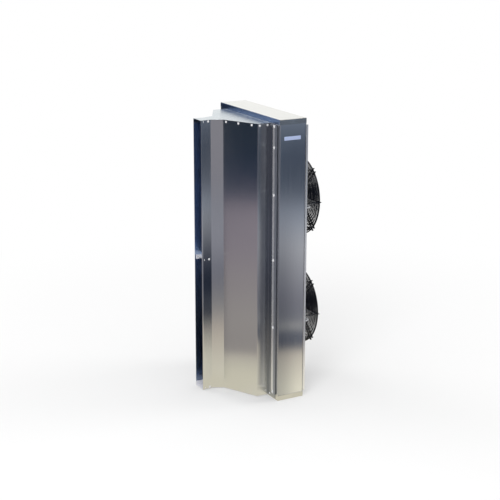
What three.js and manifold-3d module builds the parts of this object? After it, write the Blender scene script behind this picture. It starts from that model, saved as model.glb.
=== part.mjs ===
// Free-standing vertical air curtain with two axial fans, as a three.js scene graph.
//
// Units are millimetres and +Z is up. The origin is the centre of the base cap's underside,
// the outlet slot faces -Y and the fans draw air in on the +Y side. A shallow upright casing
// of folded sheet carries the fans; a plenum of folded sheet in front of it narrows to a
// full-height outlet slot.

import * as THREE from 'three';
import { mergeVertices } from 'three/addons/utils/BufferGeometryUtils.js';
import Module from 'manifold-3d';

const wasm = await Module();
wasm.setup();

// Sheet metal and fits
const CASING_SHEET = 1.5;
const PLENUM_SHEET = 1.2;
const BEND_RADIUS = 2; // inside radius of a fold
const BEND_STEPS = 2;
const FIT_GAP = 0.3; // left between pieces that bear on each other
const CUT_OVERRUN = 5; // how far a cutting body runs past what it cuts
const WELD_TOLERANCE = 0.00001;

// Fans, in the plane of the rear panel
const FAN_SPACING = 636;
const FAN_PAIR_DROP = 34; // how far the pair's centre lies below the casing's middle
const THROAT_RADIUS = 203;
const MOUTH_ROUNDING = 19; // radius of the bell mouth's lip
const BELL_FLANGE = 16; // flat rim outside the lip
const BELL_SHEET = 1.5;
const BELL_LENGTH = 61; // from the rim's face to the end of the throat
const LIP_STEPS = 3;
const BELL_FLANGE_RADIUS = THROAT_RADIUS + MOUTH_ROUNDING + BELL_FLANGE;

// Casing
const CASING_HEIGHT = 1550;
const CASING_DEPTH = 160;
const CAP_FLANGE = 28;
const FAN_SIDE_GAP = 12; // between a bell mouth's rim and the bay partition
const BAY_WIDTH = 78; // electrics bay, from the partition's face to the casing's side
const PANEL_RETURN = 20; // side panels' inward folds
const BAY_RETURN = 15;
const OPENING_COLLAR = 12; // inward fold round the front and rear openings
const HALF_WIDTH = BELL_FLANGE_RADIUS + FAN_SIDE_GAP + BAY_WIDTH;
const HALF_DEPTH = CASING_DEPTH / 2;
const PARTITION_X = HALF_WIDTH - BAY_WIDTH;
const FAN_PAIR_HEIGHT = CASING_HEIGHT / 2 - FAN_PAIR_DROP;
const PANEL_END = CASING_SHEET + BEND_RADIUS; // upright sheets end where the caps' folds begin

// Rear panel, a shallow tray that carries both fans
const REAR_PANEL_DEPTH = 13;
const REAR_PANEL_SIDE_STEP = 1; // set in from the caps' ends
const REAR_PANEL_LOWER_GAP = 6; // above the base cap's flange
const REAR_PANEL_UPPER_GAP = 9; // below the top cap's flange
const REAR_FACE_Y = HALF_DEPTH + REAR_PANEL_DEPTH;
const REAR_OPENING_MARGIN = 26; // casing's side to the rear opening on the plain side
const REAR_OPENING_LIFT = 32; // base cap's flange to the rear opening
const REAR_OPENING_DROP = 34; // top cap's flange to the rear opening

// Centre brace, a channel across the casing between the fans
const BRACE_DEPTH = 60;
const BRACE_FLANGE = 40;

// Plenum, in plan. Each depth adds to the one before, forwards from the casing.
const RIGHT_WALL_INSET = 105; // casing's side to the plenum's side wall
const LEFT_WALL_INSET = 47;
const WALL_FLANGE_MARGIN = 25; // casing's side to the wall flange's edge
const PLENUM_SIDE_DEPTH = 70;
const PLENUM_TAPER_DEPTH = 98;
const SHOULDER_DEPTH = 60;
const NOZZLE_LENGTH = 60;
const NOZZLE_OFFSET = 46.5; // the slot lies this far left of the casing's middle
const MOUTH_WIDTH = 85;
const NOZZLE_THROAT_WIDTH = 77;
const SHOULDER_WIDTH = 128;
const SHOULDER_SHIFT = 4.5; // the shoulder lies this far right of the slot's middle
const HEM_WIDTH = 13;
const HEM_GAP = 0.8;

// Plenum, in height
const PLENUM_FLOOR_GAP = 4;
const PLENUM_CAP_GAP = 3; // below the top cap's flange
const LID_FLANGE = 24;
const PLENUM_TOP = CASING_HEIGHT - CAP_FLANGE - PLENUM_CAP_GAP;
const FRONT_OPENING_LIFT = 6; // base cap's flange to the front opening
const FRONT_OPENING_DROP = 34; // top cap's flange to the front opening
const OPENING_WALL_STEP = 1; // front opening inside the plenum's walls

// Spacer that holds the outlet slot's width at mid-height
const SPACER_TOP = 768;
const SPACER_HEIGHT = 26;
const SPACER_DEPTH = 44;
const SPACER_SETBACK = 6; // behind the mouth's edge

// Strip that clamps the plenum's wide flange to the casing
const STRIP_WIDTH = 47;
const STRIP_SIDE_MARGIN = 20; // casing's side to the strip's lip
const STRIP_LIP = 9;
const STRIP_LOWER_GAP = 2; // above the base cap's flange
const STRIP_UPPER_GAP = 6; // below the top cap's flange

// Fan guard, a basket of wire rings on flat spokes and legs, with Y measured from the rear face
const GUARD_DEPTH = 142;
const GUARD_THROAT_GAP = 18; // how far the rings lie outside the bell mouth's throat
const GUARD_RADIUS = THROAT_RADIUS + GUARD_THROAT_GAP;
const GUARD_RIM_WIRE = 7;
const GUARD_WIRE = 4;
const GUARD_BAR_COUNT = 8;
const GUARD_BAR_WIDTH = 4;
const GUARD_BAR_DEPTH = 10;
const GUARD_BAR_REACH = 7; // how far a spoke reaches inside the rim's plane
const GUARD_SPOKE_OVERHANG = 15;
const GUARD_LEG_DEPTH = 7;
const GUARD_PLATE_RADIUS = 74;
const GUARD_PLATE_THICKNESS = 3;
const GUARD_PLATE_SPOKE_LAP = 5;
const GUARD_FACE_RINGS = 4;
const GUARD_SIDE_RINGS = 4;
const GUARD_SIDE_PITCH = 32;
const GUARD_FIRST_RING = 6; // rear face to the ring nearest the panel
const GUARD_FOOT_LENGTH = 30;
const GUARD_FOOT_WIDTH = 16;
const GUARD_FOOT_THICKNESS = 3;
const GUARD_FOOT_EVERY = 2; // every second leg ends in a foot
const RING_STEPS = 24;
const HOLE_STEPS = 64; // round a fan's hole in the rear panel
const WIRE_SIDES = 4;

// External-rotor motor
const MOTOR_BASE_RADIUS = 66;
const MOTOR_BASE_THICKNESS = 18;
const MOTOR_BASE_LIP = 4; // chamfer round the cast base
const STATOR_RADIUS = 51.5;
const STATOR_LENGTH = 101;
const ROTOR_RADIUS = 58;
const ROTOR_AIR_GAP = 0.5;
const ROTOR_LENGTH = 130;
const ROTOR_FLOOR = 5;
const ROTOR_EDGE = 5; // rounding of the closed end
const ROTOR_BASE_GAP = 9; // running gap between the rotor's rim and the motor base
const SHAFT_RADIUS = 7.5;
const BEARING_RADIUS = 16;
const BEARING_WIDTH = 12;
const BEARING_INSET = 5;
const SHAFT_BASE_GAP = 4;
const MOTOR_STEPS = 20;
const SHAFT_STEPS = 16;

// Impeller with sickle-shaped blades
const BLADE_COUNT = 5;
const TIP_GAP = 4;
const HUB_RADIUS = 68;
const HUB_LENGTH = 61;
const HUB_FLOOR = 8;
const HUB_SOCKET = 20; // how far the hub sits over the rotor
const HUB_WALL = 8;
const BLADE_THICKNESS = 3;
const BLADE_EDGE_THICKNESS = 1;
const BLADE_ROOT_CHORD = 72;
const BLADE_TIP_CHORD = 138;
const BLADE_ROOT_LAP = 5; // how far a blade's root runs into the hub
const BLADE_CAMBER = 9;
const BLADE_ROOT_PITCH = THREE.MathUtils.degToRad(42);
const BLADE_TIP_PITCH = THREE.MathUtils.degToRad(21);
const BLADE_SWEEP = THREE.MathUtils.degToRad(24);
const BLADE_MIDDLE = 24; // hub's front edge to the blades' middle
const BLADE_ROWS = 5;
const BLADE_COLUMNS = 5;

// Motor leads and their glands in the rear panel, beside the electrics bay
const LEAD_DIAMETER = 6;
const LEAD_BEND = 25;
const LEAD_SIDES = 8;
const LEAD_STEPS = 30;
const LEAD_SLACK_GAP = 0.5; // beside the spoke and leg that carry it
const LEAD_OUTLET_PITCHES = 1.4; // ring pitches from the first ring to where the lead comes out
const GLAND_RADIUS = 11;
const GLAND_NUT = 6;
const GLAND_DOME = 11;
const GLAND_THREAD_RADIUS = 8;
const GLAND_HOLE_RADIUS = GLAND_THREAD_RADIUS + FIT_GAP;
const GLAND_TAIL = 4; // how far the thread ends inside the casing
const GLAND_INSET = 43; // casing's side to a gland's axis
const GLAND_STEPS = 12;
const MAINS_GLAND_HEIGHT = 150;

// Terminal box on the partition, inside the bay
const TERMINAL_BOX_DEPTH = 56;
const TERMINAL_BOX_WIDTH = 80;
const TERMINAL_BOX_HEIGHT = 140;
const TERMINAL_BOX_LIFT = 120;
const TERMINAL_BOX_WALL = 2.5;
const TERMINAL_LID_THICKNESS = 3;
const TERMINAL_LID_TONGUE = 5;
const TERMINAL_BLOCK_WIDTH = 24;
const TERMINAL_BLOCK_BASE = 9;
const TERMINAL_COUNT = 6;
const TERMINAL_PITCH = 14;
const TERMINAL_BARREL = 9;
const TERMINAL_BARREL_HEIGHT = 8;

const FINISH = {
  galvanised: new THREE.MeshStandardMaterial({ color: 0xc4c6c6, metalness: 1, roughness: 0.32 }),
  zincInside: new THREE.MeshStandardMaterial({ color: 0xa9adaf, metalness: 1, roughness: 0.45 }),
  blackWire: new THREE.MeshStandardMaterial({ color: 0x101114, metalness: 0.2, roughness: 0.45 }),
  motorBlack: new THREE.MeshStandardMaterial({ color: 0x16171a, metalness: 0.3, roughness: 0.5 }),
  laminations: new THREE.MeshStandardMaterial({ color: 0x6e6a66, metalness: 0.9, roughness: 0.6 }),
  bearingSteel: new THREE.MeshStandardMaterial({ color: 0xd0d2d4, metalness: 1, roughness: 0.2 }),
  leadJacket: new THREE.MeshStandardMaterial({ color: 0x8a8d90, metalness: 0, roughness: 0.6 }),
  greyPlastic: new THREE.MeshStandardMaterial({ color: 0x4a4d50, metalness: 0, roughness: 0.55 }),
  blackPlastic: new THREE.MeshStandardMaterial({ color: 0x18191b, metalness: 0, roughness: 0.5 }),
};

// Solids and cuts

/** Makes a solid from a closed three.js geometry. */
function solidFrom(geometry) {
  const bare = geometry.clone();
  bare.deleteAttribute('normal');
  bare.deleteAttribute('uv');
  const merged = mergeVertices(bare, WELD_TOLERANCE);
  const vertProperties = Float32Array.from(merged.attributes.position.array);
  const triVerts = Uint32Array.from(merged.index.array);
  return new wasm.Manifold(new wasm.Mesh({ numProp: 3, vertProperties, triVerts }));
}

/** Makes a three.js geometry from a solid. */
function geometryFrom(solid) {
  const mesh = solid.getMesh();
  const geometry = new THREE.BufferGeometry();
  geometry.setAttribute('position', new THREE.BufferAttribute(Float32Array.from(mesh.vertProperties), 3));
  geometry.setIndex(new THREE.BufferAttribute(Uint32Array.from(mesh.triVerts), 1));
  geometry.computeVertexNormals();
  return geometry;
}

/** Joins a list of geometries into one solid. */
function joined(geometries) {
  return geometries.map(solidFrom).reduce((whole, piece) => whole.add(piece));
}

/** A block between two corners, each given as [x, y, z]. */
function block(low, high) {
  const [width, depth, height] = high.map((value, axis) => value - low[axis]);
  const middle = high.map((value, axis) => (value + low[axis]) / 2);
  return new THREE.BoxGeometry(width, depth, height).translate(...middle);
}

/** A round bar along Y. */
function bar(radius, lowY, highY, steps) {
  return new THREE.CylinderGeometry(radius, radius, highY - lowY, steps).translate(0, (lowY + highY) / 2, 0);
}

/** The radius at which a faceted bore still clears a round piece of the given radius. */
function boreRadius(radius, steps) {
  return radius / Math.cos(Math.PI / steps);
}

/** A body turned about the Y axis from a closed profile of [radius, y] points. */
function turned(profile, steps) {
  const points = profile.map(([radius, y]) => new THREE.Vector2(radius, y));
  const closed = points[0].x === 0 ? points : [...points, points[0].clone()];
  return new THREE.LatheGeometry(THREE.ShapeUtils.area(points) > 0 ? closed : closed.reverse(), steps);
}

/** An upright prism over a plan outline. */
function prism(outline, lowZ, highZ) {
  const options = { depth: highZ - lowZ, bevelEnabled: false };
  return new THREE.ExtrudeGeometry(new THREE.Shape(outline), options).translate(0, 0, lowZ);
}

// Folded sheet

function direction(from, to) {
  return to.clone().sub(from).normalize();
}

function leftOf(heading) {
  return new THREE.Vector2(-heading.y, heading.x);
}

/** Moves an open line sideways with mitred corners, to its left for a positive distance. */
function offsetLine(line, distance) {
  return line.map((point, i) => {
    const after = i < line.length - 1 ? direction(point, line[i + 1]) : direction(line[i - 1], point);
    const before = i > 0 ? direction(line[i - 1], point) : after;
    const mitre = leftOf(before).add(leftOf(after)).divideScalar(1 + before.dot(after));
    return point.clone().addScaledVector(mitre, distance);
  });
}

/** Rounds an open line's corners. leftRadius serves the corners that turn left. */
function roundedLine(line, leftRadii, rightRadii) {
  const points = [line[0].clone()];
  for (let i = 1; i < line.length - 1; i += 1) {
    const before = direction(line[i - 1], line[i]);
    const after = direction(line[i], line[i + 1]);
    const turn = Math.atan2(before.cross(after), before.dot(after));
    const radius = turn > 0 ? leftRadii[i - 1] : rightRadii[i - 1];
    const start = line[i].clone().addScaledVector(before, -radius * Math.tan(Math.abs(turn) / 2));
    const centre = start.clone().addScaledVector(leftOf(before), Math.sign(turn) * radius);
    for (let step = 0; step <= BEND_STEPS; step += 1) {
      points.push(start.clone().rotateAround(centre, (turn * step) / BEND_STEPS));
    }
  }
  points.push(line[line.length - 1].clone());
  return points;
}

/**
 * The outline of a folded sheet. The line is one face of the sheet and the metal lies to its
 * left when side is 1, or to its right when side is -1. insideRadii has one radius for each fold.
 */
function foldedOutline(line, sheet, side, insideRadii) {
  const outsideRadii = insideRadii.map((radius) => radius + sheet);
  const far = offsetLine(line, side * sheet);
  const [nearLeft, nearRight] = side > 0 ? [outsideRadii, insideRadii] : [insideRadii, outsideRadii];
  const nearFace = roundedLine(line, nearLeft, nearRight);
  const farFace = roundedLine(far, nearRight, nearLeft);
  return [...nearFace, ...farFace.reverse()];
}

/** A list of plan points from pairs. */
function plan(...pairs) {
  return pairs.map(([x, y]) => new THREE.Vector2(x, y));
}

/** A tray with its plate at z = 0 and its four flanges standing up to its height. */
function tray(width, depth, height, sheet) {
  const shell = (inset, radius, floor) => {
    const half = [width / 2 - inset - radius, depth / 2 - inset - radius];
    const corners = plan([-half[0], -half[1]], [half[0], -half[1]], [half[0], half[1]], [-half[0], half[1]]);
    const options = {
      depth: height + CUT_OVERRUN,
      bevelSize: radius,
      bevelThickness: radius,
      bevelSegments: BEND_STEPS,
    };
    return new THREE.ExtrudeGeometry(new THREE.Shape(corners), options).translate(0, 0, floor + radius);
  };
  const reach = width + depth;
  const above = block([-reach, -reach, height], [reach, reach, height + reach]);
  const outer = solidFrom(shell(0, BEND_RADIUS + sheet, 0)).subtract(solidFrom(above));
  return outer.subtract(solidFrom(shell(sheet, BEND_RADIUS, sheet)));
}

function named(name, geometry, material) {
  const mesh = new THREE.Mesh(geometry, material);
  mesh.name = name;
  return mesh;
}

// Casing

function baseCap() {
  const cap = tray(2 * HALF_WIDTH, CASING_DEPTH, CAP_FLANGE, CASING_SHEET);
  return named('base_cap', geometryFrom(cap), FINISH.galvanised);
}

function topCap() {
  const cap = tray(2 * HALF_WIDTH, CASING_DEPTH, CAP_FLANGE, CASING_SHEET);
  const mesh = named('top_cap', geometryFrom(cap), FINISH.galvanised);
  mesh.rotation.x = Math.PI;
  mesh.position.z = CASING_HEIGHT;
  return mesh;
}

/** A side panel of C section that stands inside both caps. side is 1 on the right. */
function sidePanel(name, side) {
  const faceX = side * (HALF_WIDTH - CASING_SHEET - FIT_GAP);
  const faceY = HALF_DEPTH - CASING_SHEET - FIT_GAP;
  const returnX = faceX - side * PANEL_RETURN;
  const line = plan([returnX, -faceY], [faceX, -faceY], [faceX, faceY], [returnX, faceY]);
  const outline = foldedOutline(line, CASING_SHEET, side, [BEND_RADIUS, BEND_RADIUS]);
  return named(name, prism(outline, PANEL_END, CASING_HEIGHT - PANEL_END), FINISH.galvanised);
}

/** A flat frame between the caps' flanges, with a collar folded inwards round its opening. */
function openingFrame(name, faceY, inward, openingLow, openingHigh) {
  const backY = faceY + inward * CASING_SHEET;
  const collarY = backY + inward * OPENING_COLLAR;
  const halfWidth = HALF_WIDTH - CASING_SHEET - FIT_GAP;
  const low = CAP_FLANGE + FIT_GAP;
  const ordered = (a, b) => [Math.min(a, b), Math.max(a, b)];
  const [plateLow, plateHigh] = ordered(faceY, backY);
  const [bodyLow, bodyHigh] = ordered(faceY, collarY);
  const [x0, z0] = openingLow;
  const [x1, z1] = openingHigh;
  const plate = block([-halfWidth, plateLow, low], [halfWidth, plateHigh, CASING_HEIGHT - low]);
  const wall = CASING_SHEET;
  const collar = block([x0 - wall, bodyLow, z0 - wall], [x1 + wall, bodyHigh, z1 + wall]);
  const hole = block([x0, bodyLow - CUT_OVERRUN, z0], [x1, bodyHigh + CUT_OVERRUN, z1]);
  return { name, solid: joined([plate, collar]).subtract(solidFrom(hole)) };
}

function frontFrame() {
  const low = [-HALF_WIDTH + LEFT_WALL_INSET + OPENING_WALL_STEP, CAP_FLANGE + FRONT_OPENING_LIFT];
  const high = [
    HALF_WIDTH - RIGHT_WALL_INSET - OPENING_WALL_STEP,
    CASING_HEIGHT - CAP_FLANGE - FRONT_OPENING_DROP,
  ];
  const frame = openingFrame('front_frame', -HALF_DEPTH, 1, low, high);
  return named(frame.name, geometryFrom(frame.solid), FINISH.galvanised);
}

/** Round holes along Y through the rear frame, at the gland heights. */
function glandHoles() {
  const lowY = HALF_DEPTH - CASING_SHEET - CUT_OVERRUN;
  return glandHeights().map((height) =>
    bar(GLAND_HOLE_RADIUS, lowY, HALF_DEPTH + CUT_OVERRUN, GLAND_STEPS)
      .translate(HALF_WIDTH - GLAND_INSET, 0, height));
}

function rearFrame() {
  const low = [-HALF_WIDTH + REAR_OPENING_MARGIN, CAP_FLANGE + REAR_OPENING_LIFT];
  const high = [
    PARTITION_X - CASING_SHEET - BEND_RADIUS - CASING_SHEET,
    CASING_HEIGHT - CAP_FLANGE - REAR_OPENING_DROP,
  ];
  const frame = openingFrame('rear_frame', HALF_DEPTH, -1, low, high);
  return named(frame.name, geometryFrom(frame.solid.subtract(joined(glandHoles()))), FINISH.galvanised);
}

/** The tray that carries the fans. It is made lying flat and stood up with its plate to +Y. */
function rearPanel() {
  const low = CAP_FLANGE + REAR_PANEL_LOWER_GAP;
  const high = CASING_HEIGHT - CAP_FLANGE - REAR_PANEL_UPPER_GAP;
  const middle = (low + high) / 2;
  const width = 2 * (HALF_WIDTH - REAR_PANEL_SIDE_STEP);
  const drill = (radius, x, height, steps) =>
    bar(radius, -CUT_OVERRUN, CUT_OVERRUN, steps).rotateX(Math.PI / 2).translate(x, height - middle, 0);
  const glandX = HALF_WIDTH - GLAND_INSET;
  const holes = joined([
    ...fanHeights().map((height) => drill(THROAT_RADIUS + MOUTH_ROUNDING, 0, height, HOLE_STEPS)),
    ...glandHeights().map((height) => drill(GLAND_HOLE_RADIUS, glandX, height, GLAND_STEPS)),
  ]);
  const panel = tray(width, high - low, REAR_PANEL_DEPTH - FIT_GAP, CASING_SHEET);
  const mesh = named('rear_panel', geometryFrom(panel.subtract(holes)), FINISH.galvanised);
  mesh.rotation.x = Math.PI / 2;
  mesh.position.set(0, REAR_FACE_Y, middle);
  return mesh;
}

/** The sheet of C section that parts the electrics bay from the air path. */
function bayPartition() {
  const faceY = HALF_DEPTH - CASING_SHEET - FIT_GAP;
  const webX = PARTITION_X - CASING_SHEET;
  const endX = webX + BAY_RETURN;
  const line = plan([endX, faceY], [webX, faceY], [webX, -faceY], [endX, -faceY]);
  const outline = foldedOutline(line, CASING_SHEET, 1, [BEND_RADIUS, BEND_RADIUS]);
  return named('bay_partition', prism(outline, PANEL_END, CASING_HEIGHT - PANEL_END), FINISH.zincInside);
}

/** The channel across the casing. Its section is drawn in Y and Z and runs along X. */
function centreBrace() {
  const half = BRACE_DEPTH / 2;
  const line = plan([-half, -BRACE_FLANGE], [-half, 0], [half, 0], [half, -BRACE_FLANGE]);
  const outline = foldedOutline(line, CASING_SHEET, -1, [BEND_RADIUS, BEND_RADIUS]);
  const lowX = -HALF_WIDTH + 2 * (CASING_SHEET + FIT_GAP);
  const highX = PARTITION_X - CASING_SHEET - FIT_GAP;
  const geometry = prism(outline, lowX, highX);
  const alongX = new THREE.Matrix4().makeBasis(
    new THREE.Vector3(0, 1, 0), new THREE.Vector3(0, 0, 1), new THREE.Vector3(1, 0, 0));
  geometry.applyMatrix4(alongX);
  const mesh = named('centre_brace', geometry, FINISH.zincInside);
  mesh.position.z = FAN_PAIR_HEIGHT + BRACE_FLANGE / 2;
  return mesh;
}

// Plenum and outlet slot

/** A plenum wall's outer face in plan, from its flange on the casing to the mouth's edge. */
function wallLine(side) {
  const flangeX = side * (HALF_WIDTH - WALL_FLANGE_MARGIN);
  const wallX = side * (HALF_WIDTH - (side > 0 ? RIGHT_WALL_INSET : LEFT_WALL_INSET));
  const flangeY = -HALF_DEPTH - FIT_GAP - PLENUM_SHEET;
  const sideY = -HALF_DEPTH - PLENUM_SIDE_DEPTH;
  const shoulderY = sideY - PLENUM_TAPER_DEPTH;
  const throatY = shoulderY - SHOULDER_DEPTH;
  const mouthY = throatY - NOZZLE_LENGTH;
  const shoulderX = -NOZZLE_OFFSET + SHOULDER_SHIFT + (side * SHOULDER_WIDTH) / 2;
  const throatX = -NOZZLE_OFFSET + (side * NOZZLE_THROAT_WIDTH) / 2;
  const mouthX = -NOZZLE_OFFSET + (side * MOUTH_WIDTH) / 2;
  return plan(
    [flangeX, flangeY], [wallX, flangeY], [wallX, sideY],
    [shoulderX, shoulderY], [throatX, throatY], [mouthX, mouthY]);
}

/** A plenum wall with a hem folded back along the mouth's edge. side is 1 on the right. */
function plenumWall(name, side) {
  const line = wallLine(side);
  const edge = line.pop();
  const foldY = edge.y + PLENUM_SHEET;
  const hemX = edge.x + side * HEM_GAP;
  line.push(...plan([edge.x, foldY], [hemX, foldY], [hemX, edge.y + HEM_WIDTH]));
  const folds = line.slice(1, -1).map((_, i, all) => (i < all.length - 2 ? BEND_RADIUS : HEM_GAP / 2));
  const outline = foldedOutline(line, PLENUM_SHEET, -side, folds);
  const low = PLENUM_FLOOR_GAP + PLENUM_SHEET + FIT_GAP;
  const high = PLENUM_TOP - PLENUM_SHEET - FIT_GAP;
  return named(name, prism(outline, low, high), FINISH.galvanised);
}

/** The band inside a wall's metal where a lid's flange lies, from the casing to the mouth. */
function lidFlangeBand(side) {
  const line = wallLine(side).slice(1);
  line[0].y = -HALF_DEPTH - FIT_GAP;
  const outer = offsetLine(line, -side * (PLENUM_SHEET + FIT_GAP));
  const inner = offsetLine(line, -side * (2 * PLENUM_SHEET + FIT_GAP));
  [outer, inner].forEach((face) => {
    face[0].y = line[0].y;
    face[face.length - 1].y = line[line.length - 1].y;
  });
  return [...outer, ...inner.reverse()];
}

/** A plenum lid: a plate over the walls' ends with flanges inside them. up is 1 at the top. */
function plenumLid(name, up) {
  const face = up > 0 ? PLENUM_TOP : PLENUM_FLOOR_GAP;
  const inner = face - up * PLENUM_SHEET;
  const edge = inner - up * LID_FLANGE;
  const rearY = -HALF_DEPTH - FIT_GAP;
  const right = wallLine(1).slice(1);
  const left = wallLine(-1).slice(1);
  right[0].y = rearY;
  left[0].y = rearY;
  const span = (outline, a, b) => prism(outline, Math.min(a, b), Math.max(a, b));
  const inset = PLENUM_SHEET + FIT_GAP;
  const rearBand = plan(
    [left[0].x + inset, rearY], [right[0].x - inset, rearY],
    [right[0].x - inset, rearY - PLENUM_SHEET], [left[0].x + inset, rearY - PLENUM_SHEET]);
  const lap = inner + (up * PLENUM_SHEET) / 2;
  const lid = joined([
    span([...right, ...left.reverse()], face, inner),
    span(lidFlangeBand(1), lap, edge),
    span(lidFlangeBand(-1), lap, edge),
    span(rearBand, lap, edge),
  ]);
  return named(name, geometryFrom(lid), FINISH.galvanised);
}

/** The inverted channel that is screwed between the nozzle's walls. */
function nozzleSpacer() {
  const walls = [1, -1].map((side) => wallLine(side).slice(-2));
  const frontY = walls[0][1].y + SPACER_SETBACK;
  const backY = frontY + SPACER_DEPTH;
  const sideways = (side, gap) => offsetLine(walls[side > 0 ? 0 : 1], -side * (PLENUM_SHEET + gap));
  const xAt = ([start, end], y) => start.x + ((end.x - start.x) * (y - start.y)) / (end.y - start.y);
  const outline = (gap, front, back) => plan(
    [xAt(sideways(-1, gap), front), front], [xAt(sideways(1, gap), front), front],
    [xAt(sideways(1, gap), back), back], [xAt(sideways(-1, gap), back), back]);
  const body = prism(outline(FIT_GAP, frontY, backY), SPACER_TOP - SPACER_HEIGHT, SPACER_TOP);
  const hollow = prism(
    outline(FIT_GAP + PLENUM_SHEET, frontY - CUT_OVERRUN, backY + CUT_OVERRUN),
    SPACER_TOP - SPACER_HEIGHT - CUT_OVERRUN, SPACER_TOP - PLENUM_SHEET);
  return named('nozzle_spacer', geometryFrom(solidFrom(body).subtract(solidFrom(hollow))), FINISH.galvanised);
}

/** The strip that clamps the plenum's wide flange, with a lip turned forwards. */
function clampStrip() {
  const lipX = HALF_WIDTH - STRIP_SIDE_MARGIN;
  const faceY = -HALF_DEPTH - 2 * (FIT_GAP + PLENUM_SHEET);
  const foldX = lipX - PLENUM_SHEET;
  const line = plan([lipX - STRIP_WIDTH, faceY], [foldX, faceY], [foldX, faceY - STRIP_LIP]);
  const outline = foldedOutline(line, PLENUM_SHEET, 1, [BEND_RADIUS]);
  const low = CAP_FLANGE + STRIP_LOWER_GAP;
  const high = CASING_HEIGHT - CAP_FLANGE - STRIP_UPPER_GAP;
  return named('clamp_strip', prism(outline, low, high), FINISH.galvanised);
}

// Fans. Each fan is built round the Y axis at height 0 and lifted by its group.

function fanHeights() {
  return [FAN_PAIR_HEIGHT - FAN_SPACING / 2, FAN_PAIR_HEIGHT + FAN_SPACING / 2];
}

function leadHeight() {
  return -GUARD_BAR_WIDTH / 2 - LEAD_SLACK_GAP - LEAD_DIAMETER / 2;
}

function glandHeights() {
  return [MAINS_GLAND_HEIGHT, ...fanHeights().map((height) => height + leadHeight())];
}

/** The pressed ring that leads air through the rear panel. */
function bellMouth() {
  const rimY = REAR_FACE_Y - CASING_SHEET - FIT_GAP;
  const endY = rimY - BELL_LENGTH;
  const lip = (radius, count) => Array.from({ length: count + 1 }, (_, i) => {
    const angle = (i / count) * (Math.PI / 2);
    return [
      THROAT_RADIUS + MOUTH_ROUNDING - radius * Math.cos(angle),
      rimY - MOUTH_ROUNDING + radius * Math.sin(angle),
    ];
  });
  const airSide = lip(MOUTH_ROUNDING, LIP_STEPS);
  const backSide = lip(MOUTH_ROUNDING - BELL_SHEET, LIP_STEPS - 1);
  const profile = [
    [THROAT_RADIUS, endY], ...airSide, [BELL_FLANGE_RADIUS, rimY],
    [BELL_FLANGE_RADIUS, rimY - BELL_SHEET], ...backSide.reverse(), [THROAT_RADIUS + BELL_SHEET, endY],
  ];
  return turned(profile, RING_STEPS);
}

/** The welded wire basket that carries the motor. */
function guard() {
  const rimY = REAR_FACE_Y + GUARD_DEPTH;
  const plateY = rimY - GUARD_PLATE_THICKNESS / 2;
  const ring = (radius, y, wire) =>
    new THREE.TorusGeometry(radius, wire / 2, WIRE_SIDES, RING_STEPS).rotateX(Math.PI / 2).translate(0, y, 0);
  const faceGap = (GUARD_RADIUS - GUARD_PLATE_RADIUS) / (GUARD_FACE_RINGS + 1);
  const pieces = [
    bar(GUARD_PLATE_RADIUS, plateY, plateY + GUARD_PLATE_THICKNESS, RING_STEPS),
    ring(GUARD_RADIUS, rimY, GUARD_RIM_WIRE),
  ];
  for (let i = 1; i <= GUARD_FACE_RINGS; i += 1) {
    pieces.push(ring(GUARD_PLATE_RADIUS + i * faceGap, rimY, GUARD_WIRE));
  }
  for (let i = 0; i < GUARD_SIDE_RINGS; i += 1) {
    pieces.push(ring(GUARD_RADIUS, REAR_FACE_Y + GUARD_FIRST_RING + i * GUARD_SIDE_PITCH, GUARD_WIRE));
  }
  const half = GUARD_BAR_WIDTH / 2;
  const spokeLow = rimY - GUARD_BAR_REACH;
  const legX = GUARD_RADIUS;
  const footY = REAR_FACE_Y + FIT_GAP;
  for (let i = 0; i < GUARD_BAR_COUNT; i += 1) {
    const turn = (i / GUARD_BAR_COUNT) * 2 * Math.PI;
    const spoke = block(
      [GUARD_PLATE_RADIUS - GUARD_PLATE_SPOKE_LAP, spokeLow, -half],
      [GUARD_RADIUS + GUARD_SPOKE_OVERHANG, spokeLow + GUARD_BAR_DEPTH, half]);
    const leg = block([legX, footY, -half], [legX + GUARD_LEG_DEPTH, rimY, half]);
    pieces.push(spoke.rotateY(turn), leg.rotateY(turn));
    if (i % GUARD_FOOT_EVERY === 1) {
      const foot = block(
        [legX, footY, -GUARD_FOOT_WIDTH / 2],
        [legX + GUARD_FOOT_LENGTH, footY + GUARD_FOOT_THICKNESS, GUARD_FOOT_WIDTH / 2]);
      pieces.push(foot.rotateY(turn));
    }
  }
  return geometryFrom(joined(pieces));
}

/** Where the motor's cast base bears on the guard's plate. */
function motorBaseHigh() {
  return REAR_FACE_Y + GUARD_DEPTH - GUARD_PLATE_THICKNESS / 2 - FIT_GAP;
}

function motorBase() {
  const high = motorBaseHigh();
  const low = high - MOTOR_BASE_THICKNESS;
  return turned([
    [0, low], [MOTOR_BASE_RADIUS - MOTOR_BASE_LIP, low], [MOTOR_BASE_RADIUS, low + MOTOR_BASE_LIP],
    [MOTOR_BASE_RADIUS, high], [0, high],
  ], MOTOR_STEPS);
}

function stator() {
  const high = motorBaseHigh() - MOTOR_BASE_THICKNESS - FIT_GAP;
  const bore = BEARING_RADIUS + FIT_GAP;
  return turned([
    [bore, high - STATOR_LENGTH], [STATOR_RADIUS, high - STATOR_LENGTH], [STATOR_RADIUS, high], [bore, high],
  ], MOTOR_STEPS);
}

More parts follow.
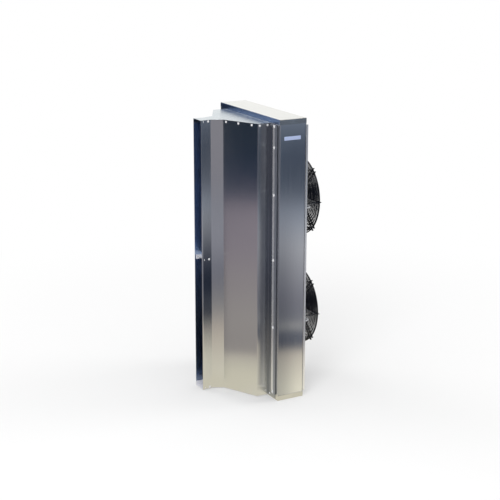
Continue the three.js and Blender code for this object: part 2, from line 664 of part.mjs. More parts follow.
/** A ball bearing as one ring, set in from the stator's end. end is 1 at the base. */
function bearing(end) {
  const statorHigh = motorBaseHigh() - MOTOR_BASE_THICKNESS - FIT_GAP;
  const rearLow = statorHigh - BEARING_INSET - BEARING_WIDTH;
  const frontLow = statorHigh - STATOR_LENGTH + BEARING_INSET;
  const low = end > 0 ? rearLow : frontLow;
  const bore = boreRadius(SHAFT_RADIUS + FIT_GAP, SHAFT_STEPS);
  return turned([
    [bore, low], [BEARING_RADIUS, low], [BEARING_RADIUS, low + BEARING_WIDTH], [bore, low + BEARING_WIDTH],
  ], SHAFT_STEPS);
}

function rotorRim() {
  return motorBaseHigh() - MOTOR_BASE_THICKNESS - ROTOR_BASE_GAP;
}

function shaft() {
  const low = rotorRim() - ROTOR_LENGTH + ROTOR_FLOOR + FIT_GAP;
  const high = motorBaseHigh() - MOTOR_BASE_THICKNESS - SHAFT_BASE_GAP;
  return bar(SHAFT_RADIUS, low, high, SHAFT_STEPS);
}

/** The rotor's cup, open towards the motor base. */
function rotorCup() {
  const high = rotorRim();
  const low = high - ROTOR_LENGTH;
  const bore = boreRadius(STATOR_RADIUS + ROTOR_AIR_GAP, MOTOR_STEPS);
  return turned([
    [0, low], [ROTOR_RADIUS - ROTOR_EDGE, low], [ROTOR_RADIUS, low + ROTOR_EDGE], [ROTOR_RADIUS, high],
    [bore, high], [bore, low + ROTOR_FLOOR], [0, low + ROTOR_FLOOR],
  ], MOTOR_STEPS);
}

/** A closed body between two skins. pointAt gives a point from a row, a column and a face. */
function skinnedBody(rows, columns, pointAt) {
  const positions = [];
  const index = (row, column, face) => (face * (rows + 1) + row) * (columns + 1) + column;
  for (let face = 0; face < 2; face += 1) {
    for (let row = 0; row <= rows; row += 1) {
      for (let column = 0; column <= columns; column += 1) {
        positions.push(...pointAt(row / rows, column / columns, face).toArray());
      }
    }
  }
  const triangles = [];
  const quad = (...corners) => {
    const [a, b, c, d] = corners.map((corner) => index(...corner));
    triangles.push(a, b, c, a, c, d);
  };
  for (let row = 0; row < rows; row += 1) {
    for (let column = 0; column < columns; column += 1) {
      quad([row, column, 0], [row, column + 1, 0], [row + 1, column + 1, 0], [row + 1, column, 0]);
      quad([row, column, 1], [row + 1, column, 1], [row + 1, column + 1, 1], [row, column + 1, 1]);
    }
    quad([row, 0, 0], [row + 1, 0, 0], [row + 1, 0, 1], [row, 0, 1]);
    quad([row + 1, columns, 0], [row, columns, 0], [row, columns, 1], [row + 1, columns, 1]);
  }
  for (let column = 0; column < columns; column += 1) {
    quad([0, column + 1, 0], [0, column, 0], [0, column, 1], [0, column + 1, 1]);
    quad([rows, column, 0], [rows, column + 1, 0], [rows, column + 1, 1], [rows, column, 1]);
  }
  const geometry = new THREE.BufferGeometry();
  geometry.setAttribute('position', new THREE.Float32BufferAttribute(positions, 3));
  geometry.setIndex(triangles);
  return geometry;
}

/** One blade, twisted and swept forwards, with its middle at middleY. */
function blade(middleY) {
  const rootRadius = HUB_RADIUS - BLADE_ROOT_LAP;
  const tipRadius = THROAT_RADIUS - TIP_GAP;
  return skinnedBody(BLADE_ROWS, BLADE_COLUMNS, (span, chordShare, face) => {
    const radius = THREE.MathUtils.lerp(rootRadius, tipRadius, span);
    const chord = THREE.MathUtils.lerp(BLADE_ROOT_CHORD, BLADE_TIP_CHORD, span);
    const pitch = THREE.MathUtils.lerp(BLADE_ROOT_PITCH, BLADE_TIP_PITCH, span);
    const along = (chordShare - 0.5) * chord;
    const bulge = 1 - (2 * chordShare - 1) ** 2;
    const half = THREE.MathUtils.lerp(BLADE_EDGE_THICKNESS, BLADE_THICKNESS, bulge) / 2;
    const lift = BLADE_CAMBER * bulge + (face === 0 ? half : -half);
    const around = along * Math.cos(pitch) - lift * Math.sin(pitch);
    const axial = along * Math.sin(pitch) + lift * Math.cos(pitch);
    const angle = around / radius + BLADE_SWEEP * span ** 2;
    return new THREE.Vector3(radius * Math.cos(angle), middleY + axial, radius * Math.sin(angle));
  });
}

/** The hub that seats on the rotor's closed end, with its blades. */
function impeller() {
  const rotorEnd = rotorRim() - ROTOR_LENGTH;
  const floorHigh = rotorEnd - FIT_GAP;
  const high = floorHigh + HUB_SOCKET;
  const low = high - HUB_LENGTH;
  const socket = ROTOR_RADIUS + FIT_GAP;
  const pocket = HUB_RADIUS - HUB_WALL;
  const hub = turned([
    [0, floorHigh - HUB_FLOOR], [pocket, floorHigh - HUB_FLOOR], [pocket, low], [HUB_RADIUS, low],
    [HUB_RADIUS, high], [socket, high], [socket, floorHigh], [0, floorHigh],
  ], MOTOR_STEPS);
  const blades = Array.from({ length: BLADE_COUNT }, (_, i) =>
    blade(low + BLADE_MIDDLE).rotateY((i / BLADE_COUNT) * 2 * Math.PI));
  const socketRoom = bar(socket, floorHigh, high + CUT_OVERRUN, MOTOR_STEPS);
  return geometryFrom(joined([hub, ...blades]).subtract(solidFrom(socketRoom)));
}

/** A route of straight runs joined by arcs of one radius. */
class FilletedRoute extends THREE.CurvePath {
  constructor(corners, radius) {
    super();
    let from = corners[0];
    for (let i = 1; i < corners.length - 1; i += 1) {
      const inward = corners[i - 1].clone().sub(corners[i]).normalize();
      const outward = corners[i + 1].clone().sub(corners[i]).normalize();
      const start = corners[i].clone().addScaledVector(inward, radius);
      const end = corners[i].clone().addScaledVector(outward, radius);
      this.add(new THREE.LineCurve3(from, start));
      this.add(new QuarterTurn(start, corners[i], end));
      from = end;
    }
    this.add(new THREE.LineCurve3(from, corners[corners.length - 1]));
  }
}

/** A quarter circle between two square runs that meet at the corner. */
class QuarterTurn extends THREE.Curve {
  constructor(start, corner, end) {
    super();
    this.start = start;
    this.toCorner = corner.clone().sub(start);
    this.fromCorner = end.clone().sub(corner);
  }

  getPoint(share, target = new THREE.Vector3()) {
    const angle = (share * Math.PI) / 2;
    return target.copy(this.start)
      .addScaledVector(this.toCorner, Math.sin(angle))
      .addScaledVector(this.fromCorner, 1 - Math.cos(angle));
  }
}

function glandMouth() {
  return REAR_FACE_Y + FIT_GAP + GLAND_NUT + GLAND_DOME;
}

/** The motor's lead: along a spoke, down inside a leg, out between two rings and into its gland. */
function motorLead() {
  const radius = LEAD_DIAMETER / 2;
  const z = leadHeight();
  const spokeY = REAR_FACE_Y + GUARD_DEPTH - GUARD_BAR_REACH - FIT_GAP - radius;
  const legX = (GUARD_RADIUS - GUARD_WIRE / 2) * Math.cos(Math.PI / RING_STEPS) - FIT_GAP - radius;
  const outletY = REAR_FACE_Y + GUARD_FIRST_RING + LEAD_OUTLET_PITCHES * GUARD_SIDE_PITCH;
  const glandX = HALF_WIDTH - GLAND_INSET;
  const route = new FilletedRoute([
    new THREE.Vector3(Math.sqrt(MOTOR_BASE_RADIUS ** 2 - z ** 2) + FIT_GAP, spokeY, z),
    new THREE.Vector3(legX, spokeY, z),
    new THREE.Vector3(legX, outletY, z),
    new THREE.Vector3(glandX, outletY, z),
    new THREE.Vector3(glandX, glandMouth() + FIT_GAP, z),
  ], LEAD_BEND);
  const section = new THREE.Shape(Array.from({ length: LEAD_SIDES }, (_, i) => {
    const angle = (i / LEAD_SIDES) * 2 * Math.PI;
    return new THREE.Vector2(radius * Math.cos(angle), radius * Math.sin(angle));
  }));
  return new THREE.ExtrudeGeometry(section, { steps: LEAD_STEPS, extrudePath: route });
}

/** A cable gland screwed through the rear panel, with its axis along Y. */
function gland() {
  const seat = REAR_FACE_Y + FIT_GAP;
  const tail = HALF_DEPTH - CASING_SHEET - GLAND_TAIL;
  const nutHigh = seat + GLAND_NUT;
  const rim = LEAD_DIAMETER;
  return turned([
    [0, tail], [GLAND_THREAD_RADIUS, tail], [GLAND_THREAD_RADIUS, seat], [GLAND_RADIUS, seat],
    [GLAND_RADIUS, nutHigh], [(GLAND_RADIUS + GLAND_THREAD_RADIUS) / 2, nutHigh],
    [rim, nutHigh + GLAND_DOME], [0, nutHigh + GLAND_DOME],
  ], GLAND_STEPS);
}

/** One fan with its guard, motor and impeller, lifted to its height. */
function fan(prefix, height) {
  const group = new THREE.Group();
  group.position.z = height;
  const pieces = [
    ['bell_mouth', bellMouth(), FINISH.zincInside],
    ['guard', guard(), FINISH.blackWire],
    ['motor_base', motorBase(), FINISH.motorBlack],
    ['stator', stator(), FINISH.laminations],
    ['rear_bearing', bearing(1), FINISH.bearingSteel],
    ['front_bearing', bearing(-1), FINISH.bearingSteel],
    ['shaft', shaft(), FINISH.bearingSteel],
    ['rotor_cup', rotorCup(), FINISH.motorBlack],
    ['impeller', impeller(), FINISH.motorBlack],
    ['motor_lead', motorLead(), FINISH.leadJacket],
  ];
  pieces.forEach(([name, geometry, material]) => group.add(named(`${prefix}_${name}`, geometry, material)));
  const leadGland = named(`${prefix}_lead_gland`, gland(), FINISH.blackPlastic);
  leadGland.position.set(HALF_WIDTH - GLAND_INSET, 0, leadHeight());
  group.add(leadGland);
  return group;
}

function mainsGland() {
  const mesh = named('mains_gland', gland(), FINISH.blackPlastic);
  mesh.position.set(HALF_WIDTH - GLAND_INSET, 0, MAINS_GLAND_HEIGHT);
  return mesh;
}

// Electrics. The box opens towards the right side panel.

function terminalBox() {
  const lowX = PARTITION_X + FIT_GAP;
  const half = TERMINAL_BOX_WIDTH / 2;
  const wall = TERMINAL_BOX_WALL;
  const low = TERMINAL_BOX_LIFT;
  const high = low + TERMINAL_BOX_HEIGHT;
  const body = block([lowX, -half, low], [lowX + TERMINAL_BOX_DEPTH, half, high]);
  const room = block(
    [lowX + wall, -half + wall, low + wall],
    [lowX + TERMINAL_BOX_DEPTH + CUT_OVERRUN, half - wall, high - wall]);
  return named('terminal_box', geometryFrom(solidFrom(body).subtract(solidFrom(room))), FINISH.greyPlastic);
}

function terminalBoxLid() {
  const lowX = PARTITION_X + 2 * FIT_GAP + TERMINAL_BOX_DEPTH;
  const half = TERMINAL_BOX_WIDTH / 2;
  const inset = TERMINAL_BOX_WALL + FIT_GAP;
  const low = TERMINAL_BOX_LIFT;
  const high = low + TERMINAL_BOX_HEIGHT;
  const plate = block([lowX, -half, low], [lowX + TERMINAL_LID_THICKNESS, half, high]);
  const tongue = block(
    [lowX - TERMINAL_LID_TONGUE, -half + inset, low + inset],
    [lowX + TERMINAL_LID_THICKNESS / 2, half - inset, high - inset]);
  return named('terminal_box_lid', geometryFrom(joined([plate, tongue])), FINISH.greyPlastic);
}

function terminalBlock() {
  const lowX = PARTITION_X + 2 * FIT_GAP + TERMINAL_BOX_WALL;
  const topX = lowX + TERMINAL_BLOCK_BASE;
  const middle = TERMINAL_BOX_LIFT + TERMINAL_BOX_HEIGHT / 2;
  const length = TERMINAL_COUNT * TERMINAL_PITCH;
  const half = TERMINAL_BLOCK_WIDTH / 2;
  const pieces = [block([lowX, -half, middle - length / 2], [topX, half, middle + length / 2])];
  for (let i = 0; i < TERMINAL_COUNT; i += 1) {
    const z = middle - length / 2 + (i + 0.5) * TERMINAL_PITCH;
    const reach = TERMINAL_BARREL / 2;
    pieces.push(block([lowX, -reach, z - reach], [topX + TERMINAL_BARREL_HEIGHT, reach, z + reach]));
  }
  return named('terminal_block', geometryFrom(joined(pieces)), FINISH.blackPlastic);
}

const airCurtain = new THREE.Group();
airCurtain.add(
  baseCap(), topCap(), sidePanel('left_side_panel', -1), sidePanel('right_side_panel', 1),
  frontFrame(), rearFrame(), rearPanel(), bayPartition(), centreBrace(),
  plenumWall('plenum_right_wall', 1), plenumWall('plenum_left_wall', -1),
  plenumLid('plenum_top_lid', 1), plenumLid('plenum_bottom_lid', -1),
  nozzleSpacer(), clampStrip(),
  mainsGland(), terminalBox(), terminalBoxLid(), terminalBlock());
const [lowerHeight, upperHeight] = fanHeights();
airCurtain.add(fan('lower_fan', lowerHeight), fan('upper_fan', upperHeight));

export default airCurtain;
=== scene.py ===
"""Looks of an upright air curtain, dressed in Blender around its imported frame.

Every length is in metres in the part's own frame: +Z is up, the outlet slot faces -Y and the fans are
on +Y. The folded sheets keep the frame's shapes and get clean edges and a brushed finish. The fans get
round wire, smooth blades and turned motor parts. Screws, cable ties and a bare plate are added as trim.
"""

import logging
import math
from dataclasses import dataclass
from enum import Enum
from functools import lru_cache, reduce
from typing import Protocol, Sequence

import bmesh
import bpy
from mathutils import Matrix, Vector


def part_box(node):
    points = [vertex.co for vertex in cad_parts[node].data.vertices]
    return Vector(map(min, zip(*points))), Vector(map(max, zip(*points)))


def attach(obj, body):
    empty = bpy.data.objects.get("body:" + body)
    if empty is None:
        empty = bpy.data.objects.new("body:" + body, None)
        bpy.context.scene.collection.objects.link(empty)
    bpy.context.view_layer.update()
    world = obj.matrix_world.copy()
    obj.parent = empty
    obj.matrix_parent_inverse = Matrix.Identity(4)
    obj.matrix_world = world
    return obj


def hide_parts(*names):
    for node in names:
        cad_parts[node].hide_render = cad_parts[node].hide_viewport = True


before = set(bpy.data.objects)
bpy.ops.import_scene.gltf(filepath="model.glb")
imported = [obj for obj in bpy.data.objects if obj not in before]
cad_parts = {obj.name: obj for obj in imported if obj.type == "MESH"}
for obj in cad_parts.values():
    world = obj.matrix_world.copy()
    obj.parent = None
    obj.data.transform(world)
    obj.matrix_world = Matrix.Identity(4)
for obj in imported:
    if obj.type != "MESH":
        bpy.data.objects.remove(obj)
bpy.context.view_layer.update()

LOG = logging.getLogger("air_curtain")
AXIS_X = Vector((1.0, 0.0, 0.0))
AXIS_Y = Vector((0.0, 1.0, 0.0))
AXIS_Z = Vector((0.0, 0.0, 1.0))
FULL_TURN = 2.0 * math.pi
QUARTER_TURN = math.pi / 2

Colour = tuple[float, float, float]
Point2 = tuple[float, float]
Point3 = tuple[float, float, float]
Shape = bmesh.types.BMesh
Socket = bpy.types.NodeSocket

WHITE: Colour = (1.0, 1.0, 1.0)
NOISE_MIDDLE: Point2 = (0.3, 0.7)
LEAD_Y = 0.1438


class Body(Enum):
    """The rigid bodies of the frame that pieces ride on."""

    CASING = "casing"
    LOWER_ROTOR = "lower_rotor"
    UPPER_ROTOR = "upper_rotor"


class Axis(Enum):
    """The directions of the part's own frame."""

    X = "X"
    Y = "Y"
    Z = "Z"


class Grain(Enum):
    """Axis along which a sheet was rolled and brushed."""

    UPRIGHT = "Z"
    ACROSS = "X"

    def scales(self, per_metre: float, stretch: float) -> Point3:
        """Returns a noise's features per metre along X, Y and Z, drawn out along the grain."""
        return tuple(per_metre / stretch if axis == self.value else per_metre for axis in "XYZ")


# Materials


@dataclass(frozen=True)
class Speckle:
    """A noise over the part: its features per metre along X, Y and Z, and its finer octaves."""

    per_metre: Point3
    detail: float = 2.0


@dataclass(frozen=True)
class Band:
    """A share that grows smoothly along one axis, by place or by the direction that a surface faces."""

    axis: Axis
    none: float
    full: float
    facing: bool = False


class Graph:
    """A node tree, with short calls for the nodes that the finishes and the studio share."""

    def __init__(self, tree: bpy.types.NodeTree) -> None:
        """Takes a material's or the world's node tree."""
        self.nodes = tree.nodes
        self.links = tree.links

    def fill(self, target: Socket, value: object) -> None:
        """Links an input to another socket, or sets its value.

        Args:
            target: The input.
            value: A socket, a number, or a vector or colour of three numbers.
        """
        if isinstance(value, bpy.types.NodeSocket):
            self.links.new(value, target)
        elif target.type == "RGBA":
            target.default_value = (*value, 1.0)
        else:
            target.default_value = value

    def add(self, kind: str, inputs: dict[str | int, object], **settings: str) -> bpy.types.Node:
        """Adds a node and fills its inputs.

        Args:
            kind: The node's type, without the words that every shader node's type begins with.
            inputs: Sockets or values, by the input's name or number.
            settings: The node's own choices.

        Returns:
            The new node.
        """
        node = self.nodes.new("ShaderNode" + kind)
        for name, choice in settings.items():
            setattr(node, name, choice)
        for key, value in inputs.items():
            self.fill(node.inputs[key], value)
        return node

    def total(self, first: Socket, second: Socket) -> Socket:
        """Adds two values."""
        return self.add("Math", {0: first, 1: second}, operation="ADD").outputs["Value"]

    def product(self, first: Socket, second: Socket) -> Socket:
        """Multiplies two values."""
        return self.add("Math", {0: first, 1: second}, operation="MULTIPLY").outputs["Value"]

    def component(self, vector: Socket, axis: Axis) -> Socket:
        """Returns a vector's component along one axis."""
        return self.add("SeparateXYZ", {"Vector": vector}).outputs[axis.value]

    def between(self, source: Socket, none: float, full: float, least: float = 0.0) -> Socket:
        """Returns a share that grows smoothly from a least value to 1 between two values of the source."""
        inputs = {"Value": source, "From Min": none, "From Max": full, "To Min": least}
        return self.add("MapRange", inputs, interpolation_type="SMOOTHSTEP").outputs["Result"]

    def mix(self, share: Socket, first: Socket | Colour, second: Socket | Colour,
            how: str = "MIX") -> Socket:
        """Blends two colours, from the first at a share of 0 to the second at 1."""
        inputs = {"Factor": share, "A": first, "B": second}
        return self.add("Mix", inputs, data_type="RGBA", blend_type=how).outputs["Result"]


class Shading(Graph):
    """One material's node tree, round its Principled shader."""

    def __init__(self, name: str) -> None:
        """Starts a material.

        Args:
            name: The material's name.
        """
        self.material = bpy.data.materials.new(name)
        self.material.use_nodes = True
        super().__init__(self.material.node_tree)
        self.shader = self.nodes["Principled BSDF"]
        self.place = self.add("TexCoord", {}).outputs["Object"]

    def put(self, values: dict[str, object]) -> None:
        """Fills the shader's own inputs, by sockets or by values that are the same all over the surface."""
        for name, value in values.items():
            self.fill(self.shader.inputs[name], value)

    def show(self, surface: Socket) -> None:
        """Shows another shader in place of the Principled one."""
        self.fill(self.nodes["Material Output"].inputs["Surface"], surface)

    def noise(self, speckle: Speckle) -> Socket:
        """Adds a noise over the object's own coordinates, about 0.5 on average."""
        stretch = self.add("Mapping", {"Vector": self.place, "Scale": speckle.per_metre})
        return self.add("TexNoise", {
            "Vector": stretch.outputs["Vector"], "Scale": 1.0, "Detail": speckle.detail}).outputs["Fac"]

    def spread(self, source: Socket, ends: Point2, base: float = 0.0) -> Socket:
        """Maps the middle of a noise's range to a base value with its two ends added."""
        inputs = {"Value": source, "From Min": NOISE_MIDDLE[0], "From Max": NOISE_MIDDLE[1],
                  "To Min": base + ends[0], "To Max": base + ends[1]}
        return self.add("MapRange", inputs).outputs["Result"]

    def toned(self, share: Socket, colour: Colour, tones: Point2) -> Socket:
        """Blends a colour between two tones, which multiply it."""
        return self.mix(share, *(tuple(channel * tone for channel in colour) for tone in tones))

    def length(self) -> Socket:
        """Returns the distance from the object's origin."""
        return self.add("VectorMath", {0: self.place}, operation="LENGTH").outputs["Value"]

    def band(self, band: Band) -> Socket:
        """Returns a band's share."""
        source = self.add("NewGeometry", {}).outputs["Normal"] if band.facing else self.place
        return self.between(self.component(source, band.axis), band.none, band.full)

    def brush(self, grain: Grain, strength: float) -> None:
        """Draws highlights out across the grain, by a strength from 0 to 1."""
        across = self.add("Tangent", {}, direction_type="RADIAL", axis=grain.value).outputs["Tangent"]
        self.put({"Anisotropic": strength, "Tangent": across})

    def relief(self, height: Socket, depth: float) -> None:
        """Bumps the surface by a height socket's range, which stands for a depth in metres."""
        self.put({"Normal": self.add("Bump", {"Height": height, "Distance": depth}).outputs["Normal"]})


@dataclass(frozen=True)
class Shade:
    """A painted shade: a darker tone laid into a sheet's colour where all its bands overlap.

    Where it also has bands in either, at least one of these has to overlap them too. The painted tones stand
    for shade and darker reflections, and were worked out from how much lighter the sheets were in a render
    than in the photograph.
    """

    by: Colour
    bands: tuple[Band, ...]
    either: tuple[Band, ...] = ()

    def apply(self, shading: Shading, colour: Socket) -> Socket:
        """Dims a sheet's colour where the shade lies.

        Args:
            shading: The sheet's node tree.
            colour: The sheet's colour.

        Returns:
            The dimmed colour socket.
        """
        shares = [shading.band(band) for band in self.bands]
        if self.either:
            shares.append(reduce(shading.total, [shading.band(band) for band in self.either]))
        return shading.mix(reduce(shading.product, shares), colour, self.by, "MULTIPLY")


def duct_shades(inward: float) -> tuple[Shade, ...]:
    """Returns a folded duct wall's painted shade and painted reflections.

    Args:
        inward: 1 or -1, the way that the wall's inner face looks along X.

    Returns:
        The shades, in the order in which they are laid over the sheet.
    """
    inside = Band(Axis.X, 0.02 * inward, 0.2 * inward, facing=True)
    outside = Band(Axis.X, 0.2 * inward, 0.02 * inward, facing=True)
    corner, above_foot = Band(Axis.Y, -0.14, -0.112), Band(Axis.Z, 0.06, 0.33)
    flange, low_down = Band(Axis.Y, -0.092, -0.084), Band(Axis.Z, 0.85, 0.25)
    nozzle_depth = (Band(Axis.Y, -0.306, -0.309), Band(Axis.Y, -0.362, -0.36))
    nozzle_height = (Band(Axis.Z, 0.125, 0.625), Band(Axis.Z, 1.125, 0.625))
    # Painted shade in the corner beside the casing, fading out near the foot except on the flange.
    beside_casing = Shade((0.5, 0.52, 0.56), (corner,), either=(above_foot, flange))
    # Painted reflection: a dark streak half way up the nozzle's outer face.
    half_way_up_nozzle = Shade((0.13, 0.16, 0.22), (*nozzle_depth, *nozzle_height, outside))
    # Painted shade: the wall's inner face, seen down the dark mouth, is dimmed and tinted blue.
    painted_inside_shade = Shade((0.7, 0.84, 1.06), (inside,))
    # Painted shade: the inner face darkens further towards the bottom.
    low_inside = Shade((0.5, 0.51, 0.54), (inside, low_down))
    return beside_casing, half_way_up_nozzle, painted_inside_shade, low_inside


class Finish(Protocol):
    """What every finish offers: a name, the record's slot and a way to make its material."""

    name: str
    slot: str

    def make(self) -> bpy.types.Material:
        """Builds the finish's node tree."""


@dataclass(frozen=True)
class BrushedSheet:
    """Bright rolled sheet: a fine grain along the sheet, broader roll marks and a faint waviness."""

    name: str
    colour: Colour
    grain: Grain = Grain.UPRIGHT
    roughness: float = 0.2
    metallic: float = 1.0
    shades: tuple[Shade, ...] = ()
    slot: str = "galvanised_sheet"
    brushing: float = 0.85
    grain_per_metre: float = 1500.0
    grain_detail: float = 3.0
    streaks_per_metre: float = 260.0
    grain_stretch: float = 250.0
    contrast: Point2 = (-1.0, 1.0)
    tones: Point2 = (0.9, 1.06)
    streak_gloss: Point2 = (-0.02, 0.02)
    smudge_gloss: Point2 = (-0.02, 0.03)
    smudges: Speckle = Speckle((5.0, 5.0, 3.5), 4.0)
    waves: Speckle = Speckle((3.0, 3.0, 1.6), 1.0)
    wave_depth: float = 0.0004

    def make(self) -> bpy.types.Material:
        """Builds the sheet's material.

        Returns:
            The material.
        """
        shading = Shading(self.name)
        fine_scales = self.grain.scales(self.grain_per_metre, self.grain_stretch)
        fine = shading.noise(Speckle(fine_scales, self.grain_detail))
        streaks = shading.noise(Speckle(self.grain.scales(self.streaks_per_metre, self.grain_stretch)))
        grain = shading.spread(shading.total(fine, streaks), self.contrast)
        colour = shading.toned(grain, self.colour, self.tones)
        # Painted shade and painted reflections, laid over the grain.
        for shade in self.shades:
            colour = shade.apply(shading, colour)
        gloss = shading.spread(streaks, self.streak_gloss, self.roughness)
        smudged = shading.spread(shading.noise(self.smudges), self.smudge_gloss)
        shading.put({
            "Base Color": colour, "Metallic": self.metallic, "Roughness": shading.total(gloss, smudged)})
        shading.brush(self.grain, self.brushing)
        shading.relief(shading.noise(self.waves), self.wave_depth)
        return shading.material


@dataclass(frozen=True)
class ZincSheet:
    """Zinc-coated sheet with flat crystals, for the sheets inside the air path."""

    name: str
    slot: str
    colour: Colour
    roughness: float = 0.38
    crystals_per_metre: float = 110.0
    tones: Point2 = (0.82, 1.1)
    crystal_gloss: Point2 = (-0.05, 0.05)
    dust: Speckle = Speckle((9.0, 9.0, 9.0), 4.0)
    dust_gloss: Point2 = (-0.03, 0.06)
    dust_depth: float = 0.0002

    def make(self) -> bpy.types.Material:
        """Builds the zinc-coated sheet's material.

        Returns:
            The material.
        """
        shading = Shading(self.name)
        cells = shading.add("TexVoronoi", {"Vector": shading.place, "Scale": self.crystals_per_metre})
        crystal = shading.add("SeparateColor", {"Color": cells.outputs["Color"]}).outputs["Red"]
        dust = shading.noise(self.dust)
        gloss = shading.spread(crystal, self.crystal_gloss, self.roughness)
        shading.put({
            "Base Color": shading.toned(crystal, self.colour, self.tones),
            "Metallic": 1.0, "Roughness": shading.total(gloss, shading.spread(dust, self.dust_gloss))})
        shading.relief(dust, self.dust_depth)
        return shading.material


@dataclass(frozen=True)
class MottledFinish:
    """A finish whose tone and gloss vary in soft patches, over a fine texture that bumps its surface.

    Tones multiply the colour and gloss adds to the roughness, where the patches are weakest and strongest.
    """

    name: str
    slot: str
    colour: Colour
    roughness: float = 0.5
    metallic: float = 0.0
    specular: float = 0.5
    coat: float = 0.0
    coat_roughness: float = 0.03
    tones: Point2 = (1.0, 1.0)
    gloss: Point2 = (0.0, 0.0)
    patches: Speckle = Speckle((35.0, 35.0, 35.0), 3.0)
    texture: Speckle = Speckle((1600.0, 1600.0, 1600.0))
    depth: float = 0.00005
    textured_gloss: bool = False

    def make(self) -> bpy.types.Material:
        """Builds the finish's material.

        Returns:
            The material.
        """
        shading = Shading(self.name)
        patches, texture = shading.noise(self.patches), shading.noise(self.texture)
        dulled_by = texture if self.textured_gloss else patches
        shading.put({
            "Base Color": shading.toned(patches, self.colour, self.tones),
            "Roughness": shading.spread(dulled_by, self.gloss, self.roughness),
            "Metallic": self.metallic, "Specular IOR Level": self.specular,
            "Coat Weight": self.coat, "Coat Roughness": self.coat_roughness})
        shading.relief(texture, self.depth)
        return shading.material


@dataclass(frozen=True)
class PowderCoat(MottledFinish):
    """Black powder coat with a fine orange-peel surface and worn, dusty patches."""

    roughness: float = 0.34
    specular: float = 0.3
    coat: float = 0.08
    coat_roughness: float = 0.2
    tones: Point2 = (1.0, 2.2)
    gloss: Point2 = (-0.06, 0.14)
    patches: Speckle = Speckle((22.0, 22.0, 22.0), 4.0)
    texture: Speckle = Speckle((900.0, 900.0, 900.0))
    depth: float = 0.00006


@dataclass(frozen=True)
class GroundSteel(MottledFinish):
    """Turned or ground bright steel with fine tool marks and faint stains."""

    roughness: float = 0.2
    metallic: float = 1.0
    tones: Point2 = (0.86, 1.0)
    gloss: Point2 = (-0.05, 0.08)
    patches: Speckle = Speckle((60.0, 60.0, 60.0), 3.0)
    texture: Speckle = Speckle((700.0, 2600.0, 700.0))
    depth: float = 0.000008
    textured_gloss: bool = True


@dataclass(frozen=True)
class Laminations(MottledFinish):
    """Stacked lacquered stampings, seen as fine rings along the motor's axis."""

    roughness: float = 0.4
    metallic: float = 0.8
    tones: Point2 = (0.6, 1.0)
    gloss: Point2 = (0.0, 0.25)
    patches: Speckle = Speckle((2.0, 2200.0, 2.0), 1.0)
    texture: Speckle = Speckle((2.0, 2200.0, 2.0), 1.0)
    depth: float = 0.0001


@dataclass(frozen=True)
class MouldedPlastic(MottledFinish):
    """Moulded plastic or cable jacket with a fine texture and slight colour variation."""

    tones: Point2 = (0.88, 1.08)
    gloss: Point2 = (-0.06, 0.08)


@dataclass(frozen=True)
class EnamelledFoil(MottledFinish):
    """The bare plate's pale enamel over foil."""

    roughness: float = 0.28
    coat: float = 0.5
    coat_roughness: float = 0.12
    tones: Point2 = (0.93, 1.0)
    gloss: Point2 = (0.0, 0.12)
    patches: Speckle = Speckle((120.0, 120.0, 300.0), 3.0)
    texture: Speckle = Speckle((120.0, 120.0, 300.0), 3.0)
    depth: float = 0.00003


# Painted reflection: the side panels darken low down and towards the front.
PAINTED_PANEL_REFLECTION = Shade((0.6, 0.61, 0.63), (Band(Axis.Y, 0.08, -0.08), Band(Axis.Z, 1.3, 0.7)))
# Painted shade: the clamp strip darkens beside the casing's corner, away from its turned lip.
PAINTED_STRIP_SHADE = Shade((0.36, 0.38, 0.42), (Band(Axis.X, 0.274, 0.288),))
# Painted reflection: the top cap's front flange is dimmed and tinted blue.
PAINTED_FLANGE_REFLECTION = Shade(
    (0.4, 0.51, 0.73), (Band(Axis.Y, -0.5, -0.9, facing=True), Band(Axis.Z, 1.0, 1.4)))

UPRIGHT_SHEET = BrushedSheet("brushed_sheet_upright", (0.76, 0.77, 0.78))
PANEL_SHEET = BrushedSheet("brushed_sheet_panels", (0.9, 0.91, 0.92), shades=(PAINTED_PANEL_REFLECTION,))
REAR_SHEET = BrushedSheet("brushed_sheet_rear", (0.92, 0.93, 0.95), roughness=0.3, metallic=0.8)
RIGHT_DUCT_SHEET = BrushedSheet("brushed_sheet_right_duct", (0.76, 0.77, 0.78), shades=duct_shades(-1.0))
LEFT_DUCT_SHEET = BrushedSheet("brushed_sheet_left_duct", (0.76, 0.77, 0.78), shades=duct_shades(1.0))
STRIP_SHEET = BrushedSheet(
    "brushed_sheet_strip", (0.94, 0.95, 0.97), roughness=0.3, metallic=0.8, shades=(PAINTED_STRIP_SHADE,))
SPACER_SHEET = BrushedSheet("brushed_sheet_spacer", (0.92, 0.92, 0.97), Grain.ACROSS, 0.34, 0.25)
LEVEL_SHEET = BrushedSheet(
    "brushed_sheet_level", (0.72, 0.72, 0.7), Grain.ACROSS, shades=(PAINTED_FLANGE_REFLECTION,))
LID_SHEET = BrushedSheet("brushed_sheet_lids", (0.58, 0.63, 0.67), Grain.ACROSS, 0.26)
INNER_SHEET = ZincSheet("zinc_coated_sheet", "inner_sheet", (0.62, 0.64, 0.66))
BLACK_WIRE = PowderCoat("black_coated_wire", "black_wire", (0.003, 0.004, 0.008))
MOTOR_BLACK = PowderCoat("black_motor_paint", "motor_black", (0.012, 0.013, 0.016), 0.42)
BLADE_BLACK = PowderCoat("black_blade_paint", "motor_black", (0.01, 0.011, 0.015), 0.38)
LAMINATIONS = Laminations("lacquered_laminations", "laminations", (0.32, 0.3, 0.28))
BEARING_STEEL = GroundSteel("ground_bearing_steel", "bearing_steel", (0.74, 0.75, 0.76))
SCREW_STEEL = GroundSteel("plated_screw_steel", "bearing_steel", (0.94, 0.94, 0.96), 0.24, 0.2)
LEAD_JACKET = MouldedPlastic("grey_cable_jacket", "lead_jacket", (0.5, 0.52, 0.56))
